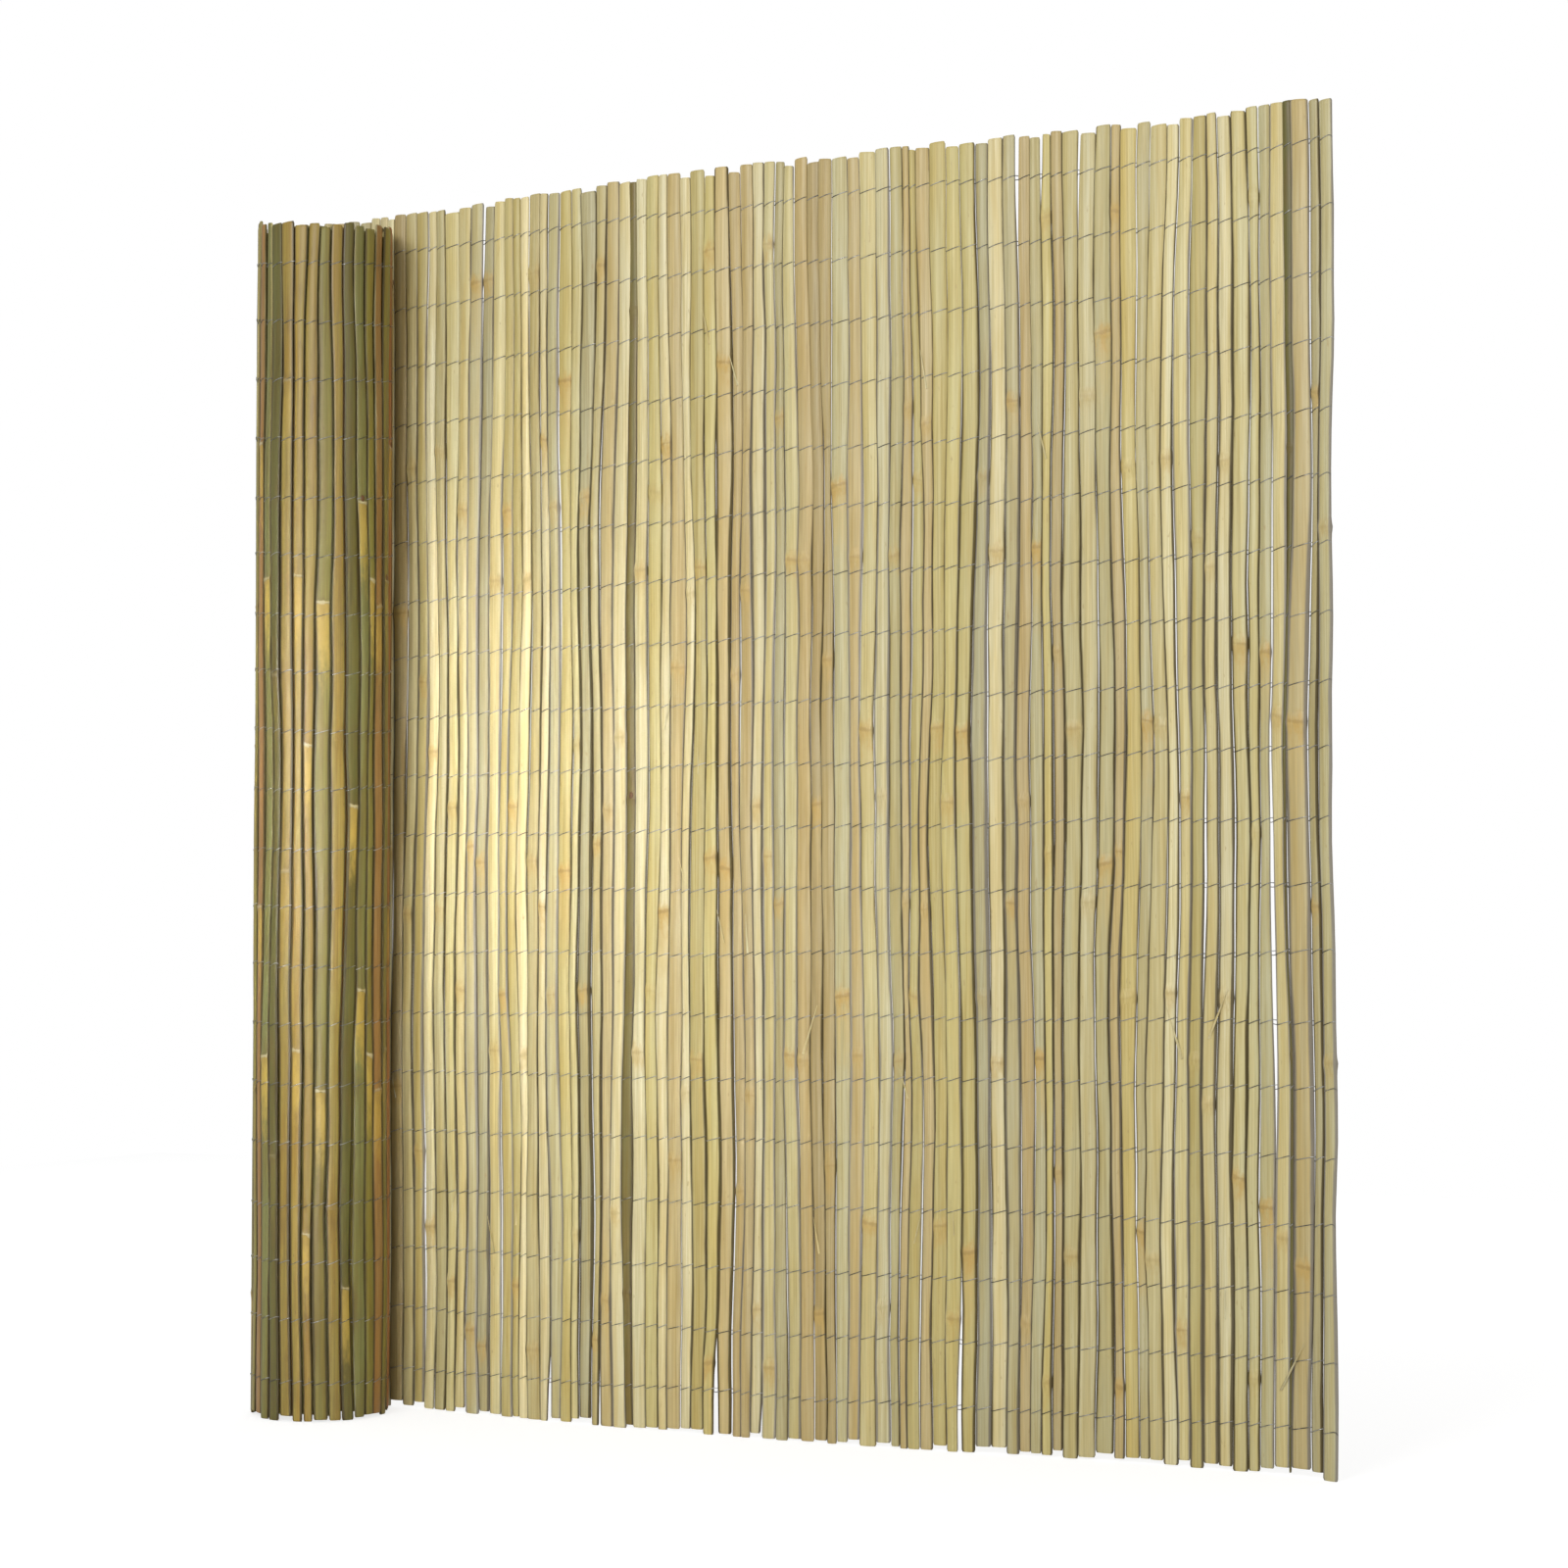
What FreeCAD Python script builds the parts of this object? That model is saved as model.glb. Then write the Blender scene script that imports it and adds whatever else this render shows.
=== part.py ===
"""A split-bamboo fence mat, partly unrolled from its roll.

Upright slats, each split from a round culm, stand side by side and are bound by rows of wire that cross
every slat in front and behind. Seen from above, the mat leaves the back of the roll, runs off to the
right as the unrolled panel and curls forward at its free edge. The skin of the culms faces outward on
the roll and backward on the panel, so the flat split faces look to the front.
"""
import FreeCAD
import Part
import math
import os
import random

Vector = FreeCAD.Vector

# Driving sizes: alias, value (millimetres, degrees or a count) and meaning
DRIVING = (
    ("mat_height", 1000.0, "length of the longest slats"),
    ("slat_pitch", 10.4, "mean slat spacing on the unrolled panel"),
    ("roll_pitch", 9.7, "mean slat spacing on the roll"),
    ("slat_gap", 1.2, "mean open gap between neighbouring slats"),
    ("slat_thickness", 3.4, "split face to skin crown"),
    ("culm_radius", 20.0, "radius of the round culm a slat is split from"),
    ("end_uneven", 6.0, "farthest a slat end falls short of the longest"),
    ("node_rise", 0.6, "height of the ring ridge at a culm node"),
    ("node_length", 12.0, "length of the ring ridge along the culm"),
    ("wire_size", 0.9, "thickness of the binding wire"),
    ("wire_rows", 20, "rows of binding wire"),
    ("wire_margin", 33.0, "first and last wire row to the mat's ends"),
    ("roll_diameter", 117.5, "over the skin of the outer turn"),
    ("roll_drop", 27.0, "how far the roll's lowest heads stand below the panel's"),
    ("bore_diameter", 24.0, "open middle of the roll"),
    ("turn_clearance", 0.2, "free space between neighbouring turns"),
    ("run_a_slats", 26, "panel slats in the run next to the roll"),
    ("run_a_heading", -4.0, "its heading, positive to the back"),
    ("run_b_slats", 16, "slats in the second run"),
    ("run_b_heading", 0.5, "its heading"),
    ("run_c_slats", 24, "slats in the third run"),
    ("run_c_heading", 5.0, "its heading"),
    ("run_d_slats", 9, "slats in the fourth run"),
    ("run_d_heading", 0.0, "its heading"),
    ("run_e_slats", 4, "slats where the free edge starts to curl"),
    ("run_e_heading", -9.0, "their heading"),
    ("run_f_slats", 2, "slats at the curled free edge"),
    ("run_f_heading", -22.0, "their heading"),
)
RUNS = "abcdef"
SEED = 41
CULMS = 16
FACET_SHARE = 0.75
PITCH_SPREAD = 0.24
ROLL_SPREAD = 0.168
GAP_SPREAD = 0.4
LEAN_STEP = 0.3
LEAN_KEPT = 0.88
ASKEW = 0.85
NODE_CLEAR = 1.0
CULM_REST = 4
FREE_EDGE_SHORT = 0.8
RING_SIDES = 15
RING_CLEAR = 0.02
NIP_SHARE = 0.36
COIL_SEAT = 0.08

# Slats turned skin-forward: number from the roll, name and the wire rows that its nodes stand above
REVERSED = {
    25: ("reversed_slat_near_roll", (1, 9, 17)),
    77: ("reversed_slat_near_edge", (5, 14)),
}

# Gaps between panel slats that stand open: number from the roll, shares of the mean gap at foot and head
OPEN_GAPS = {
    9: (0.6, 3.0),
    18: (3.4, 0.7),
    23: (0.6, 2.2),
    33: (3.2, 0.6),
    36: (0.7, 2.6),
    48: (0.6, 2.4),
    55: (2.8, 0.7),
    60: (0.6, 3.0),
    62: (1.0, 2.6),
    68: (2.6, 0.8),
    71: (1.6, 1.8),
    76: (2.2, 2.4),
}

doc = FreeCAD.newDocument("bamboo_fence_mat")
sheet = doc.addObject("Spreadsheet::Sheet", "sizes")


def fill_sheet():
    """Write each driving size, its meaning and its alias."""
    for row, (alias, value, meaning) in enumerate(DRIVING, start=1):
        sheet.set(f"A{row}", meaning)
        sheet.set(f"B{row}", str(value))
        sheet.setAlias(f"B{row}", alias)
    doc.recompute()


def size(alias):
    """Value of a driving size."""
    return float(sheet.get(alias))


def count(alias):
    """Value of a driving size that counts pieces."""
    return int(round(size(alias)))


fill_sheet()
rng = random.Random(SEED)

HEIGHT = size("mat_height")
THICK = size("slat_thickness")
WIRE = size("wire_size")
RISE = size("node_rise")
ROWS = count("wire_rows")
ROW_STEP = (HEIGHT - 2.0 * size("wire_margin")) / (ROWS - 1)
# A turn takes its slat, the wire or node ridge on its skin, and a little free space
TURN_PITCH = THICK + max(WIRE, RISE) + size("turn_clearance")
PATH_RADIUS = size("roll_diameter") / 2.0 - THICK
STEP_TERM = "(sizes.mat_height - 2 * sizes.wire_margin) / (sizes.wire_rows - 1)"
FULL_TURN = 2.0 * math.pi
# A culm's facets are a little narrower than a slat, with a corner at the crown
FACET = FACET_SHARE * size("slat_pitch")
CULM_SIDES = 4 * round(FULL_TURN * size("culm_radius") / FACET / 4.0)


class Slat:
    """One slat: its share of the mean pitch, the gaps beside it, its lean, its drop and its place.

    Gaps and lean are shares of the mean gap, so neighbours keep clear of each other at any gap.
    """

    def __init__(self, pitch_name, share):
        self.pitch_name = pitch_name
        self.share = share
        self.gap_left = 0.0
        self.gap_right = 0.0
        self.lean = 0.0
        self.drop = 0.0
        self.centre = Vector(0.0, 0.0, 0.0)
        self.angle = 0.0

    @property
    def pitch(self):
        """Length of mat this slat takes up."""
        return self.share * size(self.pitch_name)


def draw_shares(number):
    """Pitch shares of a run of slats, with their mean kept at one."""
    shares = [1.0 + PITCH_SPREAD * rng.uniform(-1.0, 1.0) for _ in range(number)]
    mean = sum(shares) / number
    return [share / mean for share in shares]


def draw_gap():
    """Share of the mean gap left between two neighbouring slats."""
    return 1.0 + GAP_SPREAD * rng.uniform(-1.0, 1.0)


def heading_vector(degrees):
    """Unit vector of a heading in plan."""
    turn = math.radians(degrees)
    return Vector(math.cos(turn), math.sin(turn), 0.0)


def skin_normal(heading):
    """Unit vector toward the skin side of a run."""
    return Vector(-heading.y, heading.x, 0.0)


def path_radius(turn):
    """Radius of the split-face line after a turn, in radians, round the roll."""
    return PATH_RADIUS - TURN_PITCH * turn / FULL_TURN


def lay_panel():
    """Panel slats from the roll to the free edge, with the corners and headings of their runs."""
    slats = []
    corners = [Vector(0.0, 0.0, 0.0)]
    headings = []
    for run in RUNS:
        degrees = size(f"run_{run}_heading")
        heading = heading_vector(degrees)
        headings.append(heading)
        along = 0.0
        for share in draw_shares(count(f"run_{run}_slats")):
            slat = Slat("slat_pitch", share)
            slat.centre = corners[-1] + heading * (along + slat.pitch / 2.0)
            slat.angle = degrees
            slats.append(slat)
            along += slat.pitch
        corners.append(corners[-1] + heading * along)
    lean = 0.0
    slats[0].gap_left = draw_gap()
    for number in range(1, len(slats)):
        lean = LEAN_KEPT * lean + LEAN_STEP * rng.uniform(-1.0, 1.0)
        gap = draw_gap()
        if number in OPEN_GAPS:
            foot, head = OPEN_GAPS[number]
            gap = (foot + head) / 2.0
            lean = slats[number - 1].lean + (head - foot) / 2.0
        slats[number - 1].gap_right = gap
        slats[number].gap_left = gap
        slats[number].lean = lean
    # The wires loop round the free-edge slat, so it stands plumb
    slats[-1].lean = 0.0
    slats[-1].gap_left = slats[-2].gap_right = 1.0 + abs(slats[-2].lean)
    return slats, corners, headings


def lay_outer_turn(middle, start_degrees):
    """Slats of the outer turn, from the panel's first slat once round the roll."""
    slats = []
    turn = 0.0
    gap = draw_gap()
    while True:
        slat = Slat("roll_pitch", 1.0 + ROLL_SPREAD * rng.uniform(-1.0, 1.0))
        step = 2.0 * math.atan(slat.pitch / 2.0 / path_radius(turn))
        if turn + step > FULL_TURN:
            return slats, turn
        slat.angle = start_degrees + math.degrees(turn + step / 2.0)
        outward = skin_normal(heading_vector(slat.angle))
        slat.centre = middle + outward * path_radius(turn + step / 2.0)
        slat.gap_right = gap
        gap = draw_gap()
        slat.gap_left = gap
        slat.lean = LEAN_STEP / 2.0 * rng.uniform(-1.0, 1.0)
        # The roll is wound askew, so its heads stand lowest just past the front
        slat.drop = (1.0 - math.cos(ASKEW * turn)) / 2.0
        slats.append(slat)
        turn += step


def culm_ring(name, level, radius):
    """Outline of a culm at one level, a corner at its crown; level and radius are expressions."""
    ring = doc.addObject("Part::RegularPolygon", name)
    ring.Polygon = CULM_SIDES
    ring.setExpression("Circumradius", radius)
    ring.setExpression("Placement.Base.y", "sizes.slat_thickness - sizes.culm_radius")
    ring.setExpression("Placement.Base.z", level)
    return ring


def draw_node_rows(number):
    """Wire rows that the nodes of a culm stand above, and how far each drifts from mid-way."""
    drift = max(0.0, ROW_STEP / 2.0 - WIRE - size("node_length") / 2.0 - NODE_CLEAR)
    nodes = []
    row = (5 * number) % 9
    while row < ROWS - 1:
        nodes.append((row, drift * rng.uniform(-1.0, 1.0)))
        row += 8 + (number + row) % 3
    return nodes


def make_culm(name, nodes):
    """The crown strip of one culm with its node ridges, crown of the skin at Y = thickness."""
    plain, raised = "sizes.culm_radius", "sizes.culm_radius + sizes.node_rise"
    rings = [culm_ring(f"{name}_foot", "0", plain)]
    for row, drift in nodes:
        # Nodes sit between two wire rows, so the wires lie on the plain skin
        level = f"sizes.wire_margin + {row + 0.5} * {STEP_TERM} + {drift:.3f}"
        rings.append(culm_ring(f"{name}_below_{row}", f"{level} - 0.5 * sizes.node_length", plain))
        rings.append(culm_ring(f"{name}_node_{row}", level, raised))
        rings.append(culm_ring(f"{name}_above_{row}", f"{level} + 0.25 * sizes.node_length", plain))
    rings.append(culm_ring(f"{name}_head", "sizes.mat_height", plain))
    culm = doc.addObject("Part::Loft", name)
    culm.Sections = rings
    culm.Solid = True
    culm.Ruled = True
    riven = doc.addObject("Part::Box", f"{name}_riven")
    riven.setExpression("Length", "1.4 * sizes.slat_pitch")
    riven.setExpression("Width", "2 * sizes.slat_thickness + 2 * sizes.node_rise")
    riven.setExpression("Height", "sizes.mat_height")
    riven.setExpression("Placement.Base.x", "-0.7 * sizes.slat_pitch")
    riven.setExpression("Placement.Base.y", "-sizes.slat_thickness")
    strip = doc.addObject("Part::Common", f"{name}_strip")
    strip.Base = culm
    strip.Tool = riven
    return strip


def make_slat(name, slat, culm, foot, head, turned, shift):
    """One slat: a straight blank kept where it lies within its culm, then stood and leant in the mat."""
    pitch = f"sizes.{slat.pitch_name} * {slat.share:.4f}"
    gaps = f"sizes.slat_gap * {(slat.gap_left + slat.gap_right) / 2.0:.4f}"
    blank = doc.addObject("Part::Box", f"{name}_blank")
    blank.setExpression("Length", f"{pitch} - {gaps}")
    blank.setExpression("Width", "sizes.slat_thickness + 2 * sizes.node_rise")
    shortfall = f"sizes.end_uneven * {foot + head:.4f} + sizes.roll_drop * {slat.drop:.4f}"
    blank.setExpression("Height", f"sizes.mat_height - ({shortfall})")
    blank.setExpression("Placement.Base.x", f"sizes.slat_gap * {slat.gap_left / 2.0:.4f} - 0.5 * {pitch}")
    blank.setExpression("Placement.Base.z", f"sizes.end_uneven * {foot:.4f}")
    piece = doc.addObject("Part::Common", name)
    piece.Base = culm
    piece.Tool = blank
    stand = slat.centre + shift
    angle = slat.angle
    lean = math.degrees(math.atan(slat.lean * size("slat_gap") / (HEIGHT / 2.0)))
    if turned:
        # Skin forward: the split face moves to the back of the mat
        stand = stand + skin_normal(heading_vector(angle)) * THICK
        angle += 180.0
        lean = -lean
    upright = FreeCAD.Placement(stand, FreeCAD.Rotation(Vector(0, 0, 1), angle))
    half_up = Vector(0.0, 0.0, HEIGHT / 2.0)
    leant = FreeCAD.Placement(Vector(0, 0, 0), FreeCAD.Rotation(Vector(0, 1, 0), lean), half_up)
    piece.Placement = upright.multiply(leant)
    return piece


def offset_corners(corners, headings, distance):
    """Corners of the panel's path moved to its skin side by a distance, mitred at each bend."""
    moved = []
    for number, corner in enumerate(corners):
        before = headings[max(number - 1, 0)]
        after = headings[min(number, len(headings) - 1)]
        bisector = (skin_normal(before) + skin_normal(after)).normalize()
        moved.append(corner + bisector * (distance / bisector.dot(skin_normal(before))))
    return moved


def ring_corners(middle, start_degrees, distance):
    """Corners of the wire's way round the outer turn, a distance outside the split-face line."""
    half_side = FULL_TURN / RING_SIDES / 2.0
    # The spiral falls inward along each side, so the corners stand off by half that fall
    standoff = TURN_PITCH * half_side / FULL_TURN + RING_CLEAR
    ring = []
    turn = half_side
    while turn < FULL_TURN - NIP_SHARE:
        outward = skin_normal(heading_vector(start_degrees + math.degrees(turn)))
        ring.append(middle + outward * ((path_radius(turn) + standoff + distance) / math.cos(half_side)))
        turn += 2.0 * half_side
    return ring


def wire_outline(corners, headings, middle, start_degrees):
    """Plan of one binding wire: along the panel's front, round the free edge, back and round the roll."""
    nip = NIP_SHARE * PATH_RADIUS
    last = headings[-1]
    front_in = offset_corners(corners, headings, 0.0)[1:]
    front_out = offset_corners(corners, headings, -WIRE)[1:]
    back_in = offset_corners(corners, headings, THICK)[1:]
    back_out = offset_corners(corners, headings, THICK + WIRE)[1:]
    start_in = corners[0] + headings[0] * nip
    start_out = start_in - skin_normal(headings[0]) * WIRE
    outline = [start_out]
    outline += front_out[:-1]
    outline += [front_out[-1] + last * WIRE, back_out[-1] + last * WIRE]
    outline += back_out[:-1][::-1]
    outline += ring_corners(middle, start_degrees, THICK + WIRE)
    outline += ring_corners(middle, start_degrees, THICK)[::-1]
    outline += back_in
    outline += front_in[::-1]
    outline.append(start_in)
    return outline


def inner_outline(middle, start_degrees, turn):
    """Plan of the turns inside the outer one: a spiral with one facet for each slat."""
    skins = []
    faces = []
    # The coil springs out until its skin rests against the split faces of the outer turn
    lift = TURN_PITCH - THICK - COIL_SEAT
    stop = FULL_TURN * (PATH_RADIUS + lift - size("bore_diameter") / 2.0) / TURN_PITCH
    turn += size("slat_gap") / path_radius(turn)
    while turn < stop:
        outward = skin_normal(heading_vector(start_degrees + math.degrees(turn)))
        faces.append(middle + outward * (path_radius(turn) + lift))
        skins.append(middle + outward * (path_radius(turn) + lift + THICK))
        turn += size("roll_pitch") / path_radius(turn)
    return skins + faces[::-1]


def extrude(name, outline, shift, level, height):
    """An upright prism on a closed plan outline; level and height are expressions of the driving sizes."""
    plan = doc.addObject("Part::Polygon", f"{name}_plan")
    plan.Nodes = [point + shift for point in outline]
    plan.Close = True
    solid = doc.addObject("Part::Extrusion", name)
    solid.Base = plan
    solid.DirMode = "Custom"
    solid.Dir = Vector(0, 0, 1)
    solid.Solid = True
    solid.setExpression("LengthFwd", height)
    if level:
        solid.setExpression("Placement.Base.z", level)
    return solid


def gather(name, pieces):
    """A group of separate slats as one sub-part."""
    group = doc.addObject("Part::Compound", name)
    group.Links = pieces
    return group


def pick_culm(picked):
    """Draw a culm that none of the last few slats was split from, and note its number."""
    number = rng.choice([number for number in range(CULMS) if number not in picked[-CULM_REST:]])
    picked.append(number)
    return culms[number]


def end_cuts(slat):
    """How far one slat falls short at its foot and head, as shares of the end unevenness."""
    foot = rng.uniform(0.0, 1.0) ** 2
    head = rng.uniform(0.0, 1.0) ** 1.5
    if slat.lean == 0.0:
        return 0.0, 0.0
    # A leaning slat keeps its lower corner off the ground line
    return max(foot, 0.02), max(head, 0.02)


panel, corners, headings = lay_panel()
start = size("run_a_heading")
middle = -skin_normal(headings[0]) * PATH_RADIUS
outer, turned_so_far = lay_outer_turn(middle, start)
wire_plan = wire_outline(corners, headings, middle, start)
shift = Vector(
    -(min(p.x for p in wire_plan) + max(p.x for p in wire_plan)) / 2.0,
    -(min(p.y for p in wire_plan) + max(p.y for p in wire_plan)) / 2.0,
    0.0,
)

culms = [make_culm(f"culm_{number}", draw_node_rows(number)) for number in range(CULMS)]
subparts = []
plain = []
picked = []
for number, slat in enumerate(panel):
    foot, head = end_cuts(slat)
    culm = pick_culm(picked)
    if number == len(panel) - 1:
        subparts.append(make_slat("free_edge_slat", slat, culm, foot, FREE_EDGE_SHORT, False, shift))
    elif number in REVERSED:
        label, rows = REVERSED[number]
        culm = make_culm(f"culm_of_{label}", [(row, 0.0) for row in rows if row < ROWS - 1])
        subparts.append(make_slat(label, slat, culm, foot, head, True, shift))
    else:
        plain.append(make_slat(f"panel_slat_{number}", slat, culm, foot, head, False, shift))
subparts.append(gather("panel_slats", plain))

wrapped = []
for number, slat in enumerate(outer):
    foot, head = end_cuts(slat)
    wrapped.append(make_slat(f"outer_slat_{number}", slat, pick_culm(picked), foot, head, False, shift))
subparts.append(gather("outer_turn_slats", wrapped))

spiral = inner_outline(middle, start, turned_so_far)
coil_height = "sizes.mat_height - sizes.roll_drop - 0.5 * sizes.end_uneven"
subparts.append(extrude("inner_turns", spiral, shift, None, coil_height))

for row in range(ROWS):
    level = f"sizes.wire_margin + {row} * {STEP_TERM} - 0.5 * sizes.wire_size"
    subparts.append(extrude(f"binding_wire_{row + 1:02d}", wire_plan, shift, level, "sizes.wire_size"))

doc.recompute()
for item in doc.Objects:
    if "Invalid" in item.State or "Error" in item.State:
        raise RuntimeError(f"{item.Label} did not rebuild: {item.State}")
for item in subparts + plain + wrapped:
    if item.Shape.isNull() or not item.Shape.isValid() or not item.Shape.Solids:
        raise RuntimeError(f"{item.Label} has no sound shape")
for item in plain + wrapped:
    if len(item.Shape.Solids) != 1:
        raise RuntimeError(f"{item.Label} is not one solid")

os.makedirs("parts", exist_ok=True)
for item in subparts:
    item.Shape.exportStep(os.path.join("parts", item.Label + ".step"))
print(f"{len(subparts)} sub-parts, {len(panel)} panel slats, {len(outer)} slats in the outer turn")
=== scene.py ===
"""Looks of a split-bamboo fence mat that is partly unrolled from its roll.

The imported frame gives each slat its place, width, length and knuckles, and each binding wire its row.
This script builds the slats with their round skin, crooked run and swollen knuckles, twines two strands
of wire round them in every row, and gives bamboo and wire their finishes.
"""

import logging
import math
import random
from dataclasses import dataclass, field
from enum import Enum

import bmesh
import bpy
from mathutils import Matrix, Vector, noise


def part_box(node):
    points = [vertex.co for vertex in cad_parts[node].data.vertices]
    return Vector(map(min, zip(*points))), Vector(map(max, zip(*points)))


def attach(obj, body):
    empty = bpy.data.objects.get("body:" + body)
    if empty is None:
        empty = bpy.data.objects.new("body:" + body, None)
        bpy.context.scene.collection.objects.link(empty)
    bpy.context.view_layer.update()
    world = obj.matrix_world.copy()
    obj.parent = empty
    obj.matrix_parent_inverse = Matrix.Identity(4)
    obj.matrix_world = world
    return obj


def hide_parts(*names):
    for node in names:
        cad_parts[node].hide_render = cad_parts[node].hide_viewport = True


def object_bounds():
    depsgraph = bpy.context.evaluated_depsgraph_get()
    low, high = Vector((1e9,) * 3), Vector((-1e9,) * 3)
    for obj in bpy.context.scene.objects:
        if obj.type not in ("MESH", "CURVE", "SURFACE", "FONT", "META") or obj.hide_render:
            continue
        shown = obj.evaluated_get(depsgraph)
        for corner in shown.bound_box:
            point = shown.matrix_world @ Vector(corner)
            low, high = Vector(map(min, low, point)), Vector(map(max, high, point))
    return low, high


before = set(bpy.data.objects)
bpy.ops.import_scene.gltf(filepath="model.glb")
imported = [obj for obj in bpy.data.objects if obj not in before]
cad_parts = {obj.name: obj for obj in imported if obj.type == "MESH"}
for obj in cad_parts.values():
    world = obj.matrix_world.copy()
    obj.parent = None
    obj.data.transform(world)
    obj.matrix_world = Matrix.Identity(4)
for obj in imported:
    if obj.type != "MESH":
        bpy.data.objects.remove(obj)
CAD_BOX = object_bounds()

LOG = logging.getLogger("fence_mat")
MM = 0.001
SEED = 7
UP = Vector((0.0, 0.0, 1.0))

# Vertex attributes that the finishes read, and the farthest from a knuckle that they tell in millimetres
KNUCKLE_MARKS = ("over_knuckle", "under_knuckle")
# The edge marks hold where painted shade falls across a slat and how much of it is grey
EDGE_MARKS = ("across", "grey_gap_shade")
TONE_MARKS = ("split_colour", "skin_colour")
FAR = 90.0

Rgb = tuple[int, int, int]
Rgba = tuple[float, float, float, float]
Span = tuple[float, float]
Point = tuple[float, float, float]
Socket = bpy.types.NodeSocket


def linear(colour: Rgb) -> Rgba:
    """A display colour as the linear values that shaders take.

    Args:
        colour: red, green and blue from 0 to 255.

    Returns:
        Linear red, green and blue with an alpha of one.
    """
    def channel(value: int) -> float:
        """Linear value of one channel, by the sRGB curve."""
        share = value / 255.0
        return share / 12.92 if share <= 0.04045 else ((share + 0.055) / 1.055) ** 2.4

    red, green, blue = colour
    return channel(red), channel(green), channel(blue), 1.0


def portion(value: float) -> float:
    """A value held between nought and one."""
    return min(1.0, max(0.0, value))


class SplitTone(Enum):
    """Colours that split faces come in."""

    CREAM = (206, 198, 154)
    STRAW = (207, 196, 140)
    ASH = (194, 189, 154)
    TAN = (194, 179, 136)
    PALE = (220, 213, 176)
    BLEACHED = (196, 190, 154)


class SkinTone(Enum):
    """Colours that the culms' skin comes in."""

    OLIVE = (145, 139, 66)
    SAGE = (136, 137, 80)
    RUSSET = (156, 124, 74)
    OCHRE = (166, 148, 72)
    MOSS = (114, 112, 54)
    RUST = (182, 120, 64)
    DULL = (128, 121, 70)


class Face(Enum):
    """Sides of the mat: the front shows the split faces, the back the skin."""

    FRONT = 0
    BACK = 1


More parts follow.
